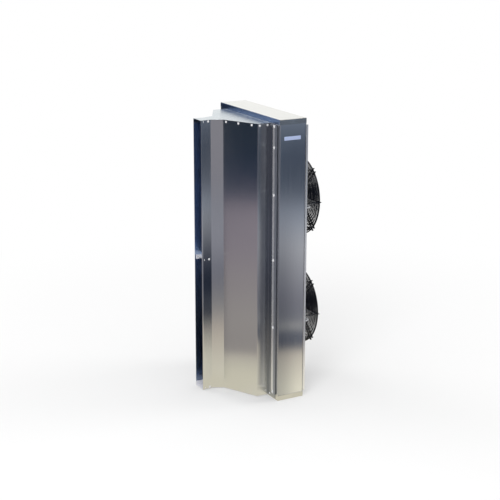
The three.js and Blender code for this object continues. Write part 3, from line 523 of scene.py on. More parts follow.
GREY_PLASTIC = MouldedPlastic("grey_moulded_plastic", "grey_plastic", (0.16, 0.17, 0.18))
BLACK_PLASTIC = MouldedPlastic("black_nylon", "black_plastic", (0.016, 0.016, 0.018), 0.45)
PLATE_ENAMEL = EnamelledFoil("pale_plate_enamel", "galvanised_sheet", (0.4, 0.48, 0.72))


@lru_cache(maxsize=None)
def material_of(finish: Finish) -> bpy.types.Material:
    """Returns a finish's material, made once."""
    return finish.make()


# Shaping


def to_scene(name: str, shape: Shape) -> bpy.types.Object:
    """Turns a finished mesh into a scene object.

    Args:
        name: The object's name.
        shape: The mesh to use; it is freed.

    Returns:
        The new object.
    """
    mesh = bpy.data.meshes.new(name)
    shape.to_mesh(mesh)
    shape.free()
    item = bpy.data.objects.new(name, mesh)
    bpy.context.scene.collection.objects.link(item)
    return item


def add_piece(name: str, shape: Shape, finish: Finish, body: Body, *nodes: str,
              smooth_below: float = 40.0) -> bpy.types.Object:
    """Adds a dressed piece that rides on its body and may stand for frame nodes.

    Args:
        name: The piece's name.
        shape: The piece's mesh in the part's frame; it is freed.
        finish: Its finish.
        body: The body that it rides on.
        nodes: Frame nodes that the piece stands for.
        smooth_below: Edges that bend by fewer degrees than this are shaded smooth.

    Returns:
        The new piece.
    """
    bmesh.ops.recalc_face_normals(shape, faces=shape.faces[:])
    piece = to_scene(name, shape)
    piece.data.polygons.foreach_set("use_smooth", [True] * len(piece.data.polygons))
    piece.data.set_sharp_from_angle(angle=math.radians(smooth_below))
    piece.data.materials.append(material_of(finish))
    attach(piece, body.value)
    if nodes:
        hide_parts(*nodes)
    LOG.info("%s: %d faces, %s", name, len(piece.data.polygons), finish.name)
    return piece


def radial(angle: float) -> Vector:
    """Returns the direction square to Y at an angle from +X towards +Z."""
    return Vector((math.cos(angle), 0.0, math.sin(angle)))


def circle(centre: Vector, radius: float, steps: int) -> list[Vector]:
    """Returns points round a circle that faces +Y."""
    return [centre + radial(FULL_TURN * i / steps) * radius for i in range(steps)]


def round_section(radius: float, sides: int) -> list[Point2]:
    """Returns a round wire's section."""
    turns = [FULL_TURN * i / sides for i in range(sides)]
    return [(radius * math.cos(turn), radius * math.sin(turn)) for turn in turns]


def bar_section(width: float, height: float, corner: float, steps: int = 3) -> list[Point2]:
    """Returns a flat bar's section with rounded corners.

    Args:
        width: Size across.
        height: Size along the second direction.
        corner: Corner radius.
        steps: Steps round each corner.

    Returns:
        Points round the section.
    """
    points = []
    for quarter, (side, rise) in enumerate(((1, 1), (-1, 1), (-1, -1), (1, -1))):
        middle = (side * (width / 2 - corner), rise * (height / 2 - corner))
        for step in range(steps + 1):
            angle = (quarter + step / steps) * QUARTER_TURN
            points.append((middle[0] + corner * math.cos(angle), middle[1] + corner * math.sin(angle)))
    return points


def sweep(shape: Shape, path: Sequence[Vector], section: Sequence[Point2], up: Vector,
          closed: bool = False) -> None:
    """Sweeps a section along a flat path.

    Args:
        shape: The mesh that receives the sweep.
        path: Points of the path.
        section: Points of the section: across the path, and along up.
        up: The direction square to the path's plane.
        closed: Whether the path returns to its start.
    """
    count = len(path)
    rings = []
    for i, point in enumerate(path):
        before = path[i - 1] if closed or i > 0 else point
        after = path[(i + 1) % count] if closed or i < count - 1 else point
        side = (after - before).normalized().cross(up)
        rings.append([shape.verts.new(point + side * across + up * rise) for across, rise in section])
    join_rings(shape, rings + rings[:1] if closed else rings)
    if not closed:
        shape.faces.new(rings[0])
        shape.faces.new(rings[-1])


def join_rings(shape: Shape, rings: Sequence[Sequence[bmesh.types.BMVert]]) -> None:
    """Spans faces between each ring of vertices and the next; a ring may be one vertex on an axis.

    Args:
        shape: The mesh that holds the rings.
        rings: The rings in order.
    """
    for first, second in zip(rings, rings[1:]):
        count = max(len(first), len(second))
        for i in range(count):
            j = (i + 1) % count
            if len(first) == 1:
                shape.faces.new((first[0], second[i], second[j]))
            elif len(second) == 1:
                shape.faces.new((first[i], second[0], first[j]))
            else:
                shape.faces.new((first[i], second[i], second[j], first[j]))


def turned(shape: Shape, profile: Sequence[Point2], steps: int, centre_z: float,
           matrix: Matrix = Matrix()) -> None:
    """Turns a profile about an axis along Y.

    Args:
        shape: The mesh that receives the body.
        profile: Pairs of a radius and a place along Y. It starts and ends on the axis, or closes.
        steps: Steps round the axis.
        centre_z: Height of the axis.
        matrix: Moves the finished body.
    """
    rings = []
    for radius, y in profile:
        centre = Vector((0.0, y, centre_z))
        points = [centre] if radius == 0.0 else circle(centre, radius, steps)
        rings.append([shape.verts.new(matrix @ point) for point in points])
    on_axis = profile[0][0] == 0.0
    join_rings(shape, rings if on_axis else rings + rings[:1])


def filleted(corners: Sequence[Vector], radius: float, steps: int) -> list[Vector]:
    """Rounds the square corners of a route.

    Args:
        corners: Points of the route; its runs meet at right angles.
        radius: Bend radius.
        steps: Steps round each bend.

    Returns:
        Points along the rounded route.
    """
    points = [corners[0]]
    for before, corner, after in zip(corners, corners[1:], corners[2:]):
        inward = (before - corner).normalized() * radius
        outward = (after - corner).normalized() * radius
        for step in range(steps + 1):
            angle = step / steps * QUARTER_TURN
            points.append(corner + inward * (1.0 - math.sin(angle)) + outward * (1.0 - math.cos(angle)))
    points.append(corners[-1])
    return points


@dataclass(frozen=True)
class ScrewHead:
    """A pan-head screw with a washer face and a cross recess."""

    radius: float = 0.0045
    height: float = 0.0026
    washer_radius: float = 0.0058
    washer_height: float = 0.0007
    recess_depth: float = 0.0013
    recess_arm: float = 0.17
    recess_reach: float = 0.68
    recess_floor: float = 1.5
    steps: int = 24
    domes: int = 5

    def add(self, shape: Shape, place: Vector, facing: Vector, size: float = 1.0) -> None:
        """Adds one head.

        Args:
            shape: The mesh that receives the head.
            place: Where the head seats.
            facing: The direction that the head faces.
            size: Scale of this head.
        """
        turn = AXIS_Y.rotation_difference(facing).to_matrix().to_4x4()
        matrix = Matrix.Translation(place) @ turn @ Matrix.Scale(size, 4)
        profile = [(0.0, 0.0), (self.washer_radius, 0.0), (self.washer_radius, self.washer_height),
                   (self.radius, self.washer_height)]
        for i in range(self.domes + 1):
            angle = (i + 1) / (self.domes + 2) * QUARTER_TURN
            rise = self.washer_height + (self.height - self.washer_height) * math.sin(angle)
            profile.append((self.radius * math.cos(angle), rise))
        profile.append((0.0, self.height))
        first = len(shape.verts)
        turned(shape, profile, self.steps, 0.0)
        shape.verts.ensure_lookup_table()
        arm, reach = self.radius * self.recess_arm, self.radius * self.recess_reach
        for vertex in shape.verts[first:]:
            x, y, z = vertex.co
            in_arm = min(abs(x), abs(z)) < arm and math.hypot(x, z) < reach
            if in_arm and y > self.washer_height * self.recess_floor:
                vertex.co.y -= self.recess_depth * (1.0 - math.hypot(x, z) / reach)
            vertex.co = matrix @ vertex.co


# Sheets that keep the frame's shape


@dataclass
class SheetDresser:
    """Makes clean-edged copies of the frame's folded sheets. Its angles are in degrees."""

    weld: float = 0.000002
    flat_angle: float = 0.5
    sharp_angle: float = 60.0
    smooth_below: float = 50.0
    edge_rounding: float = 0.00035

    def dress(self, finish: Finish, *nodes: str) -> None:
        """Copies sheets, joins their flat faces and rounds their cut edges.

        Args:
            finish: The sheets' finish.
            nodes: The frame nodes to copy; each copy stands for its node.
        """
        for node in nodes:
            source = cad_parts[node].data
            shape = bmesh.new()
            corners = [shape.verts.new(vertex.co) for vertex in source.vertices]
            for face in source.polygons:
                shape.faces.new([corners[i] for i in face.vertices])
            bmesh.ops.remove_doubles(shape, verts=shape.verts[:], dist=self.weld)
            bmesh.ops.dissolve_limit(
                shape, angle_limit=math.radians(self.flat_angle), verts=shape.verts[:], edges=shape.edges[:])
            sharp_angle = math.radians(self.sharp_angle)
            sharp = [
                edge for edge in shape.edges
                if len(edge.link_faces) == 2 and edge.calc_face_angle() > sharp_angle]
            bmesh.ops.bevel(
                shape, geom=sharp, offset=self.edge_rounding, offset_type="OFFSET", segments=2,
                profile=0.5, affect="EDGES", clamp_overlap=True)
            piece = add_piece(
                f"{node}_dressed", shape, finish, Body.CASING, node, smooth_below=self.smooth_below)
            piece.modifiers.new("flat_faces", "WEIGHTED_NORMAL").keep_sharp = True


@dataclass
class FoldedCasing:
    """The upright casing: caps, side panels, frames, rear panel, partition and brace."""

    screw: ScrewHead = ScrewHead()
    rear_screw_size: float = 0.85
    rear_screw_margin: float = 0.008
    rear_screw_rows: int = 6
    rear_screw_end: float = 0.03

    def build(self) -> None:
        """Dresses the casing's sheets and adds the rear panel's screws."""
        dresser = SheetDresser()
        dresser.dress(LEVEL_SHEET, "base_cap", "top_cap")
        dresser.dress(PANEL_SHEET, "left_side_panel", "right_side_panel")
        dresser.dress(UPRIGHT_SHEET, "front_frame", "rear_frame")
        dresser.dress(REAR_SHEET, "rear_panel")
        dresser.dress(INNER_SHEET, "bay_partition", "centre_brace")
        low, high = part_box("rear_panel")
        pitch = (high.z - low.z - 2 * self.rear_screw_end) / (self.rear_screw_rows - 1)
        shape = bmesh.new()
        for side in (low.x + self.rear_screw_margin, high.x - self.rear_screw_margin):
            for row in range(self.rear_screw_rows):
                place = Vector((side, high.y, low.z + self.rear_screw_end + row * pitch))
                self.screw.add(shape, place, AXIS_Y, self.rear_screw_size)
        add_piece("rear_panel_screws", shape, SCREW_STEEL, Body.CASING)


@dataclass
class OutletPlenum:
    """The plenum in front of the casing, with its slot, spacer, strip and screws.

    Plan sizes are measured as in the frame: the side wall, the taper, the shoulder and the nozzle.
    Pairs hold the left wall's size and the right wall's one.
    """

    screw: ScrewHead = ScrewHead()
    side_depth: float = 0.07
    taper_depth: float = 0.098
    shoulder_depth: float = 0.06
    wall_x: Point2 = (-0.281, 0.223)
    shoulder_x: Point2 = (-0.106, 0.022)
    throat_x: Point2 = (-0.085, -0.008)
    mouth_x: Point2 = (-0.089, -0.004)
    wall_screw_size: float = 1.05
    edge_screw_drop: float = 0.009
    side_screw_shares: Point2 = (0.19, 0.85)
    taper_screw_shares: Point3 = (0.92, 0.56, 0.18)
    nozzle_screw_shares: Point2 = (0.24, 0.8)
    nozzle_screw_heights: Point3 = (0.013, 0.755, 1.511)
    strip_screw_heights: tuple[float, ...] = (0.037, 0.409, 0.787, 1.143, 1.397, 1.507)
    strip_screw_inset: float = 0.014
    strip_screw_size: float = 1.5
    strip_rise: float = 0.0027
    flange_screw: Point2 = (0.243, 0.018)
    flange_rise: float = 0.0012

    def build(self) -> None:
        """Dresses the plenum's sheets and adds its screws."""
        dresser = SheetDresser()
        dresser.dress(RIGHT_DUCT_SHEET, "plenum_right_wall")
        dresser.dress(LEFT_DUCT_SHEET, "plenum_left_wall")
        dresser.dress(STRIP_SHEET, "clamp_strip")
        dresser.dress(LID_SHEET, "plenum_top_lid")
        dresser.dress(SPACER_SHEET, "plenum_bottom_lid", "nozzle_spacer")
        shape = bmesh.new()
        for side in (1, 0):
            self.add_wall_screws(shape, side)
        self.add_strip_screws(shape)
        add_piece("plenum_screws", shape, SCREW_STEEL, Body.CASING)

    def add_wall_screws(self, shape: Shape, side: int) -> None:
        """Adds the screws along one wall's top edge and on the nozzle.

        Args:
            shape: The mesh that receives the screws.
            side: 0 for the left wall and 1 for the right one.
        """
        low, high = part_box("plenum_right_wall")
        wall_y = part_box("front_frame")[0].y
        taper_y = wall_y - self.side_depth
        shoulder_y = taper_y - self.taper_depth
        wall = Vector((self.wall_x[side], wall_y, 0.0))
        taper = Vector((self.wall_x[side], taper_y, 0.0))
        shoulder = Vector((self.shoulder_x[side], shoulder_y, 0.0))
        throat = Vector((self.throat_x[side], shoulder_y - self.shoulder_depth, 0.0))
        mouth = Vector((self.mouth_x[side], low.y, 0.0))
        top_edge = (high.z - self.edge_screw_drop,)
        for start, end, shares, heights in (
                (wall, taper, self.side_screw_shares, top_edge),
                (taper, shoulder, self.taper_screw_shares, top_edge),
                (throat, mouth, self.nozzle_screw_shares, self.nozzle_screw_heights)):
            facing = (end - start).normalized().cross(AXIS_Z) * (-1.0 if side else 1.0)
            for share in shares:
                for height in heights:
                    place = start.lerp(end, share) + AXIS_Z * height
                    self.screw.add(shape, place, facing, self.wall_screw_size)

    def add_strip_screws(self, shape: Shape) -> None:
        """Adds the screws down the clamp strip, and the one on the flange below it.

        Args:
            shape: The mesh that receives the screws.
        """
        strip_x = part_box("clamp_strip")[0].x + self.strip_screw_inset
        back_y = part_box("plenum_right_wall")[1].y
        for height in self.strip_screw_heights:
            place = Vector((strip_x, back_y - self.strip_rise, height))
            self.screw.add(shape, place, -AXIS_Y, self.strip_screw_size)
        flange_x, flange_z = self.flange_screw
        self.screw.add(shape, Vector((flange_x, back_y - self.flange_rise, flange_z)), -AXIS_Y)


@dataclass
class CableGland:
    """A moulded gland: hexagon body, dome nut and thread, on an axis along Y."""

    node: str
    hexagon: float = 0.011
    thread: float = 0.008
    seat_gap: float = 0.0003
    nut_length: float = 0.006
    chamfer: float = 0.0006
    dome_flare: float = 0.0015
    dome_seat: float = 0.004
    lip: float = 0.0012
    lip_rounding: float = 0.0004
    entry: float = 0.0032
    entry_depth: float = 0.003
    dome_steps: int = 5
    steps: int = 32

    def build(self) -> None:
        """Builds the gland."""
        low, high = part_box(self.node)
        middle = (low + high) / 2
        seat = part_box("rear_panel")[1].y + self.seat_gap
        nut = seat + self.nut_length
        aside = Matrix.Translation((middle.x, 0.0, 0.0))
        shape = bmesh.new()
        hexagon = [(0.0, seat), (self.hexagon, seat), (self.hexagon, nut - self.chamfer),
                   (self.hexagon - self.chamfer, nut), (0.0, nut)]
        turned(shape, hexagon, 6, middle.z, aside)
        flare = self.thread + self.dome_flare
        dome = [(0.0, low.y), (self.thread, low.y), (self.thread, nut), (flare, nut + self.chamfer)]
        for i in range(self.dome_steps + 1):
            angle = i / self.dome_steps * QUARTER_TURN
            radius = self.entry + self.lip + (flare - self.entry - self.lip) * math.cos(angle)
            rise = self.dome_seat + (high.y - nut - self.dome_seat) * math.sin(angle)
            dome.append((radius, nut + rise))
        floor = high.y - self.entry_depth
        dome += [(self.entry, high.y - self.lip_rounding), (self.entry, floor), (0.0, floor)]
        turned(shape, dome, self.steps, middle.z, aside)
        add_piece(f"{self.node}_moulded", shape, BLACK_PLASTIC, Body.CASING, self.node)


@dataclass
class ElectricsBay:
    """The terminal box, its lid and its block, and the mains gland."""

    def build(self) -> None:
        """Dresses the bay's pieces."""
        dresser = SheetDresser()
        dresser.dress(GREY_PLASTIC, "terminal_box", "terminal_box_lid")
        dresser.dress(BLACK_PLASTIC, "terminal_block")
        CableGland("mains_gland").build()


# Fans


@dataclass
class FanPart:
    """What each part of a fan knows: the fan's name in the frame, its rotor's body and its axis."""

    prefix: str
    body: Body
    centre_z: float

    def box(self, part: str) -> tuple[Vector, Vector]:
        """Returns the box of one of the fan's nodes."""
        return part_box(f"{self.prefix}_{part}")

    def add(self, name: str, shape: Shape, finish: Finish, body: Body, *nodes: str) -> None:
        """Adds a piece of the fan, whose name and nodes begin with the fan's name."""
        add_piece(f"{self.prefix}_{name}", shape, finish, body, *(f"{self.prefix}_{node}" for node in nodes))

    def middle(self, y: float) -> Vector:
        """Returns the point of the fan's axis at a place along Y."""
        return Vector((0.0, y, self.centre_z))


@dataclass
class WireBasket(FanPart):
    """The welded guard: rings and flat spokes on legs, with a plate that carries the motor."""

    radius: float = 0.221
    rim_wire: float = 0.007
    wire: float = 0.004
    fine_wire: float = 0.0038
    wire_sides: int = 10
    ring_steps: int = 96
    face_gaps: int = 5
    face_fill: int = 4
    side_rings: int = 4
    side_fill: int = 3
    side_pitch: float = 0.032
    first_ring: float = 0.006
    lead_y: float = LEAD_Y
    lead_room: float = 0.005
    bars: int = 8
    bar_width: float = 0.004
    bar_depth: float = 0.01
    bar_reach: float = 0.007
    bar_lap: float = 0.005
    bar_edge: float = 0.0009
    overhang: float = 0.015
    leg_depth: float = 0.007
    leg_pair_gap: float = 0.022
    foot_length: float = 0.03
    foot_width: float = 0.016
    foot_thickness: float = 0.003
    foot_edge: float = 0.0008
    foot_screw_share: float = 0.62
    plate_radius: float = 0.074
    plate_thickness: float = 0.003
    plate_edge: float = 0.0008
    plate_dish: float = 0.012
    plate_screws: int = 4
    plate_screw_radius: float = 0.045
    plate_screw_height: float = 0.0022
    plate_screw_size: float = 1.1

    def __post_init__(self) -> None:
        """Reads where the frame's guard ends, and starts the meshes of the guard and its screws."""
        low, high = self.box("guard")
        self.foot_y = low.y
        self.rim_y = high.y - self.rim_wire / 2
        self.shape = bmesh.new()
        self.screws = bmesh.new()

    def build(self) -> None:
        """Builds the guard and its screws."""
        self.add_rings()
        for i in range(self.bars):
            outward = radial(-FULL_TURN * i / self.bars)
            if i % 2 == 1:
                aside = outward.cross(AXIS_Y) * (self.leg_pair_gap / 2)
                self.add_spoke(outward, aside)
                self.add_spoke(outward, -aside)
                self.add_foot(outward)
            else:
                self.add_spoke(outward, Vector())
        self.add_plate()
        self.add("wire_guard", self.shape, BLACK_WIRE, Body.CASING, "guard")
        self.add("guard_screws", self.screws, SCREW_STEEL, Body.CASING)

    def add_rings(self) -> None:
        """Adds the rim, the face's rings and the rings along the side, but none where the cable passes."""
        rings = [(self.radius, self.rim_y, self.rim_wire)]
        face_count = self.face_gaps * self.face_fill
        face_pitch = (self.radius - self.plate_radius) / face_count
        for i in range(1, face_count):
            wire = self.fine_wire if i % self.face_fill else self.wire
            rings.append((self.plate_radius + face_pitch * i, self.rim_y, wire))
        first_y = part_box("rear_panel")[1].y + self.first_ring
        for i in range(self.side_rings * self.side_fill):
            wire = self.fine_wire if i % self.side_fill else self.wire
            ring_y = first_y + self.side_pitch / self.side_fill * i
            if abs(ring_y - self.lead_y) > self.lead_room:
                rings.append((self.radius, ring_y, wire))
        for radius, y, wire in rings:
            path = circle(self.middle(y), radius, self.ring_steps)
            sweep(self.shape, path, round_section(wire / 2, self.wire_sides), AXIS_Y, closed=True)

    def add_spoke(self, outward: Vector, aside: Vector) -> None:
        """Adds one spoke and its leg.

        Args:
            outward: The spoke's direction.
            aside: How far the spoke lies beside the fan's middle.
        """
        bar = self.middle(self.rim_y - self.bar_reach + self.bar_depth / 2) + aside
        reach = (self.plate_radius - self.bar_lap, self.radius + self.overhang)
        section = bar_section(self.bar_width, self.bar_depth, self.bar_edge)
        sweep(self.shape, [bar + outward * end for end in reach], section, AXIS_Y)
        leg = self.middle(self.foot_y) + outward * (self.radius + self.leg_depth / 2) + aside
        section = bar_section(self.bar_width, self.leg_depth, self.bar_edge)
        sweep(self.shape, [leg, leg + AXIS_Y * (self.rim_y - self.foot_y)], section, outward)

    def add_foot(self, outward: Vector) -> None:
        """Adds one foot with its screw.

        Args:
            outward: The leg's direction from the axis.
        """
        start = self.middle(self.foot_y + self.foot_thickness / 2) + outward * self.radius
        section = bar_section(self.foot_width, self.foot_thickness, self.foot_edge)
        sweep(self.shape, [start, start + outward * self.foot_length], section, AXIS_Y)
        along = self.radius + self.foot_length * self.foot_screw_share
        ScrewHead().add(self.screws, self.middle(self.foot_y + self.foot_thickness) + outward * along, AXIS_Y)

    def add_plate(self) -> None:
        """Adds the motor's plate with its screws."""
        low = self.rim_y - self.plate_thickness / 2
        high = self.rim_y + self.plate_thickness / 2
        edge, dish, radius = self.plate_edge, self.plate_dish, self.plate_radius
        turned(self.shape, [
            (0.0, low), (radius - edge, low), (radius, low + edge), (radius, high - edge),
            (radius - edge, high), (radius - dish, high), (radius - dish - edge, high - edge),
            (dish + edge, high - edge), (dish, high), (0.0, high)], self.ring_steps, self.centre_z)
        screw = ScrewHead(height=self.plate_screw_height)
        for i in range(self.plate_screws):
            outward = radial(FULL_TURN * (i + 0.5) / self.plate_screws)
            place = self.middle(high - edge) + outward * self.plate_screw_radius
            screw.add(self.screws, place, AXIS_Y, self.plate_screw_size)


@dataclass
class ExternalRotorMotor(FanPart):
    """The motor's cast base and its rotor cup; its inner parts keep the frame's shapes."""

    steps: int = 72
    base_lip: float = 0.004
    base_bevel: float = 0.001
    base_edge: float = 0.0006
    base_groove: float = 0.008
    cup_edge: float = 0.005
    cup_edge_steps: int = 4
    cup_rim: float = 0.0008
    cup_floor: float = 0.005
    cup_grooves: Point2 = (0.02, 0.012)
    air_bore: float = 0.0525
    groove_depth: float = 0.0008
    groove_width: float = 0.003
    groove_slope: float = 0.0006

    def build(self) -> None:
        """Builds the base and the cup, and dresses the inner parts."""
        self.build_base()
        self.build_cup()
        for part, finish in (("stator", LAMINATIONS), ("rear_bearing", BEARING_STEEL),
                             ("front_bearing", BEARING_STEEL), ("shaft", BEARING_STEEL)):
            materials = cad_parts[f"{self.prefix}_{part}"].data.materials
            materials.clear()
            materials.append(material_of(finish))

    def groove(self, radius: float, y: float) -> list[Point2]:
        """Returns the profile of a turned groove that begins at a place along Y."""
        floor = radius - self.groove_depth
        return [(radius, y), (floor, y + self.groove_slope),
                (floor, y + self.groove_width - self.groove_slope), (radius, y + self.groove_width)]

    def build_base(self) -> None:
        """Builds the cast base with its turned groove."""
        low, high = self.box("motor_base")
        radius = (high.z - low.z) / 2
        lip_y = low.y + self.base_lip
        profile = [
            (0.0, low.y), (radius - self.base_lip, low.y),
            (radius - self.base_bevel, lip_y - self.base_bevel), (radius, lip_y),
            *self.groove(radius, low.y + self.base_groove), (radius, high.y - self.base_edge),
            (radius - self.base_edge, high.y), (0.0, high.y)]
        shape = bmesh.new()
        turned(shape, profile, self.steps, self.centre_z)
        self.add("cast_base", shape, MOTOR_BLACK, Body.CASING, "motor_base")

    def build_cup(self) -> None:
        """Builds the rotor cup with its rounded end and turned grooves."""
        low, high = self.box("rotor_cup")
        radius = (high.x - low.x) / 2
        profile = [(0.0, low.y)]
        for i in range(self.cup_edge_steps + 1):
            angle = i / self.cup_edge_steps * QUARTER_TURN
            inset, rise = self.cup_edge * (1.0 - math.sin(angle)), self.cup_edge * (1.0 - math.cos(angle))
            profile.append((radius - inset, low.y + rise))
        for depth in self.cup_grooves:
            profile += self.groove(radius, high.y - depth)
        floor = low.y + self.cup_floor
        profile += [(radius, high.y - self.cup_rim), (radius - self.cup_rim, high.y), (self.air_bore, high.y),
                    (self.air_bore, floor), (0.0, floor)]
        shape = bmesh.new()
        turned(shape, profile, self.steps, self.centre_z)
        self.add("turned_cup", shape, MOTOR_BLACK, self.body, "rotor_cup")


@dataclass
class SickleImpeller(FanPart):
    """The hub and its swept blades. Its angles are in degrees."""

    hub_radius: float = 0.068
    hub_length: float = 0.061
    hub_floor: float = 0.008
    hub_wall: float = 0.008
    hub_edge: float = 0.0012
    hub_steps: int = 72
    pocket_fillet: float = 0.004
    pocket_bevel: float = 0.001
    socket: float = 0.0583
    socket_depth: float = 0.02
    cup_gap: float = 0.0003
    blades: int = 5
    blade_middle: float = 0.024
    tip_radius: float = 0.199
    root_lap: float = 0.005
    root_chord: float = 0.072
    tip_chord: float = 0.138
    root_pitch: float = 42.0
    tip_pitch: float = 21.0
    sweep_angle: float = 24.0
    camber: float = 0.009
    thickness: float = 0.003
    edge_thickness: float = 0.001
    rows: int = 18
    columns: int = 16

    def build(self) -> None:
        """Builds the impeller."""
        floor_high = self.box("rotor_cup")[0].y - self.cup_gap
        floor_low = floor_high - self.hub_floor
        high = floor_high + self.socket_depth
        low = high - self.hub_length
        radius, edge = self.hub_radius, self.hub_edge
        pocket, fillet, bevel = radius - self.hub_wall, self.pocket_fillet, self.pocket_bevel
        shape = bmesh.new()
        turned(shape, [
            (0.0, floor_low), (pocket - fillet, floor_low), (pocket - bevel, floor_low - bevel),
            (pocket, floor_low - fillet), (pocket, low + edge), (pocket + edge, low), (radius - edge, low),
            (radius, low + edge), (radius, high - edge), (radius - edge, high), (self.socket, high),
            (self.socket, floor_high), (0.0, floor_high)], self.hub_steps, self.centre_z)
        for i in range(self.blades):
            self.add_blade(shape, low + self.blade_middle, FULL_TURN * i / self.blades)
        self.add("sickle_impeller", shape, BLADE_BLACK, self.body, "impeller")

    def surface(self, span: float, along_share: float, face: int) -> Point3:
        """Returns a point of a blade's skin.

        Args:
            span: 0 at the root and 1 at the tip.
            along_share: 0 at one edge and 1 at the other.
            face: 1 or -1 for the blade's two faces.

        Returns:
            The point's radius, its angle round the hub and its place along Y, from the blade's middle.
        """
        root_radius = self.hub_radius - self.root_lap
        radius = root_radius + span * (self.tip_radius - root_radius)
        chord = self.root_chord + span * (self.tip_chord - self.root_chord)
        pitch = math.radians(self.root_pitch + span * (self.tip_pitch - self.root_pitch))
        along = (along_share - 0.5) * chord
        bulge = 1.0 - (2.0 * along_share - 1.0) ** 2
        half = (self.edge_thickness + bulge * (self.thickness - self.edge_thickness)) / 2
        lift = self.camber * bulge + half * face
        around = along * math.cos(pitch) - lift * math.sin(pitch)
        axial = along * math.sin(pitch) + lift * math.cos(pitch)
        return radius, around / radius + math.radians(self.sweep_angle) * span ** 2, axial

    def add_blade(self, shape: Shape, middle_y: float, turn: float) -> None:
        """Adds one blade as a closed skin.

        Args:
            shape: The mesh that receives the blade.
            middle_y: The blade's middle along Y.
            turn: The blade's place round the hub.
        """
        shares = [i / self.columns for i in range(self.columns + 1)]
        front, back = [], []
        for grid, face in ((front, 1), (back, -1)):
            for row in range(self.rows + 1):
                skin = [self.surface(row / self.rows, share, face) for share in shares]
                grid.append([
                    shape.verts.new(self.middle(middle_y + axial) + radial(angle - turn) * radius)
                    for radius, angle, axial in skin])
        strips = [*zip(front, front[1:]), *zip(back, back[1:])]
        for edge in (0, -1):
            strips.append((front[edge], back[edge]))
            strips.append(([row[edge] for row in front], [row[edge] for row in back]))
        for near, far in strips:
            for i in range(len(near) - 1):
                shape.faces.new((near[i], near[i + 1], far[i + 1], far[i]))


@dataclass
class BellMouth(FanPart):
    """The pressed ring that leads air through the rear panel."""

    flange: float = 0.016
    rounding: float = 0.019
    sheet: float = 0.0015
    lip_steps: int = 10
    steps: int = 128

    def build(self) -> None:
        """Builds the ring from its box in the frame."""
        low, high = self.box("bell_mouth")
        rim_radius = (high.x - low.x) / 2
        lip_middle = rim_radius - self.flange
        throat = lip_middle - self.rounding

        def lip(radius: float) -> list[Point2]:
            """Returns the quarter circle of the lip at one radius."""
            turns = [i / self.lip_steps * QUARTER_TURN for i in range(self.lip_steps + 1)]
            return [(lip_middle - radius * math.cos(turn), high.y - self.rounding + radius * math.sin(turn))
                    for turn in turns]

        shape = bmesh.new()
        turned(shape, [
            (throat, low.y), *lip(self.rounding), (rim_radius, high.y), (rim_radius, high.y - self.sheet),
            *reversed(lip(self.rounding - self.sheet)), (throat + self.sheet, low.y)],
            self.steps, self.centre_z)
        self.add("pressed_mouth", shape, INNER_SHEET, Body.CASING, "bell_mouth")


@dataclass
class MotorLead(FanPart):
    """The motor's cable along a spoke and a leg to its gland, with the ties that hold it."""

    diameter: float = 0.006
    sides: int = 16
    bend: float = 0.025
    bend_steps: int = 12
    leg_x: float = 0.2138
    outlet_y: float = LEAD_Y
    tie_places: Point2 = (0.095, 0.165)
    tie_rise: float = 0.0015
    tie_lift: float = 0.003
    tie_inside: Point2 = (0.0135, 0.0125)
    tie_corner: float = 0.003
    tie_corner_steps: int = 4
    tie_width: float = 0.0028
    tie_thickness: float = 0.0009
    tie_edge: float = 0.0003

    def build(self) -> None:
        """Builds the cable and its ties."""
        low, high = self.box("motor_lead")
        radius = self.diameter / 2
        z = (low.z + high.z) / 2
        spoke_y, gland_x = high.y - radius, high.x - radius
        route = [(low.x, spoke_y), (self.leg_x, spoke_y), (self.leg_x, self.outlet_y),
                 (gland_x, self.outlet_y), (gland_x, low.y)]
        path = filleted([Vector((x, y, z)) for x, y in route], self.bend, self.bend_steps)
        shape = bmesh.new()
        sweep(shape, path, round_section(radius, self.sides), AXIS_Z)
        self.add("cable", shape, LEAD_JACKET, Body.CASING, "motor_lead")
        ties = bmesh.new()
        band = bar_section(self.tie_thickness, self.tie_width, self.tie_edge)
        inside = bar_section(*self.tie_inside, self.tie_corner, self.tie_corner_steps)
        for x in self.tie_places:
            middle = Vector((x, spoke_y + self.tie_rise, z + self.tie_lift))
            loop = [middle + AXIS_Z * up + AXIS_Y * out for up, out in inside]
            sweep(ties, loop, band, AXIS_X, closed=True)
        self.add("cable_ties", ties, BLACK_PLASTIC, Body.CASING)


@dataclass
class AxialFan:
    """One fan with its guard, motor, impeller, bell mouth and cable."""

    prefix: str
    body: Body

    def build(self) -> None:
        """Builds the fan's pieces."""
        low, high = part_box(f"{self.prefix}_motor_base")
        for part in (BellMouth, WireBasket, ExternalRotorMotor, SickleImpeller, MotorLead):
            part(self.prefix, self.body, (low.z + high.z) / 2).build()
        CableGland(f"{self.prefix}_lead_gland").build()


@dataclass
class BarePlate:
    """The small plate near the top of the right side, left bare."""

    low: Point2 = (-0.052, 1.439)
    high: Point2 = (0.047, 1.459)
    thickness: float = 0.0009
    corner: float = 0.003
    corner_steps: int = 5
    edge: float = 0.0003
    edge_inset: float = 0.0004

    def build(self) -> None:
        """Builds the plate on the right side panel."""
        (low_y, low_z), (high_y, high_z) = self.low, self.high
        face_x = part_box("right_side_panel")[1].x
        middle = Vector((face_x, (low_y + high_y) / 2, (low_z + high_z) / 2))
        shape = bmesh.new()
        layers = []
        for inset, depth in (
                (0.0, 0.0), (0.0, self.thickness - self.edge), (self.edge_inset, self.thickness)):
            outline = bar_section(high_y - low_y - 2 * inset, high_z - low_z - 2 * inset, self.corner - inset,
                                  self.corner_steps)
            layers.append([shape.verts.new(middle + Vector((depth, y, z))) for y, z in outline])
        join_rings(shape, layers)
        shape.faces.new(layers[0])
        shape.faces.new(layers[-1])
        add_piece("bare_side_plate", shape, PLATE_ENAMEL, Body.CASING)


# Studio


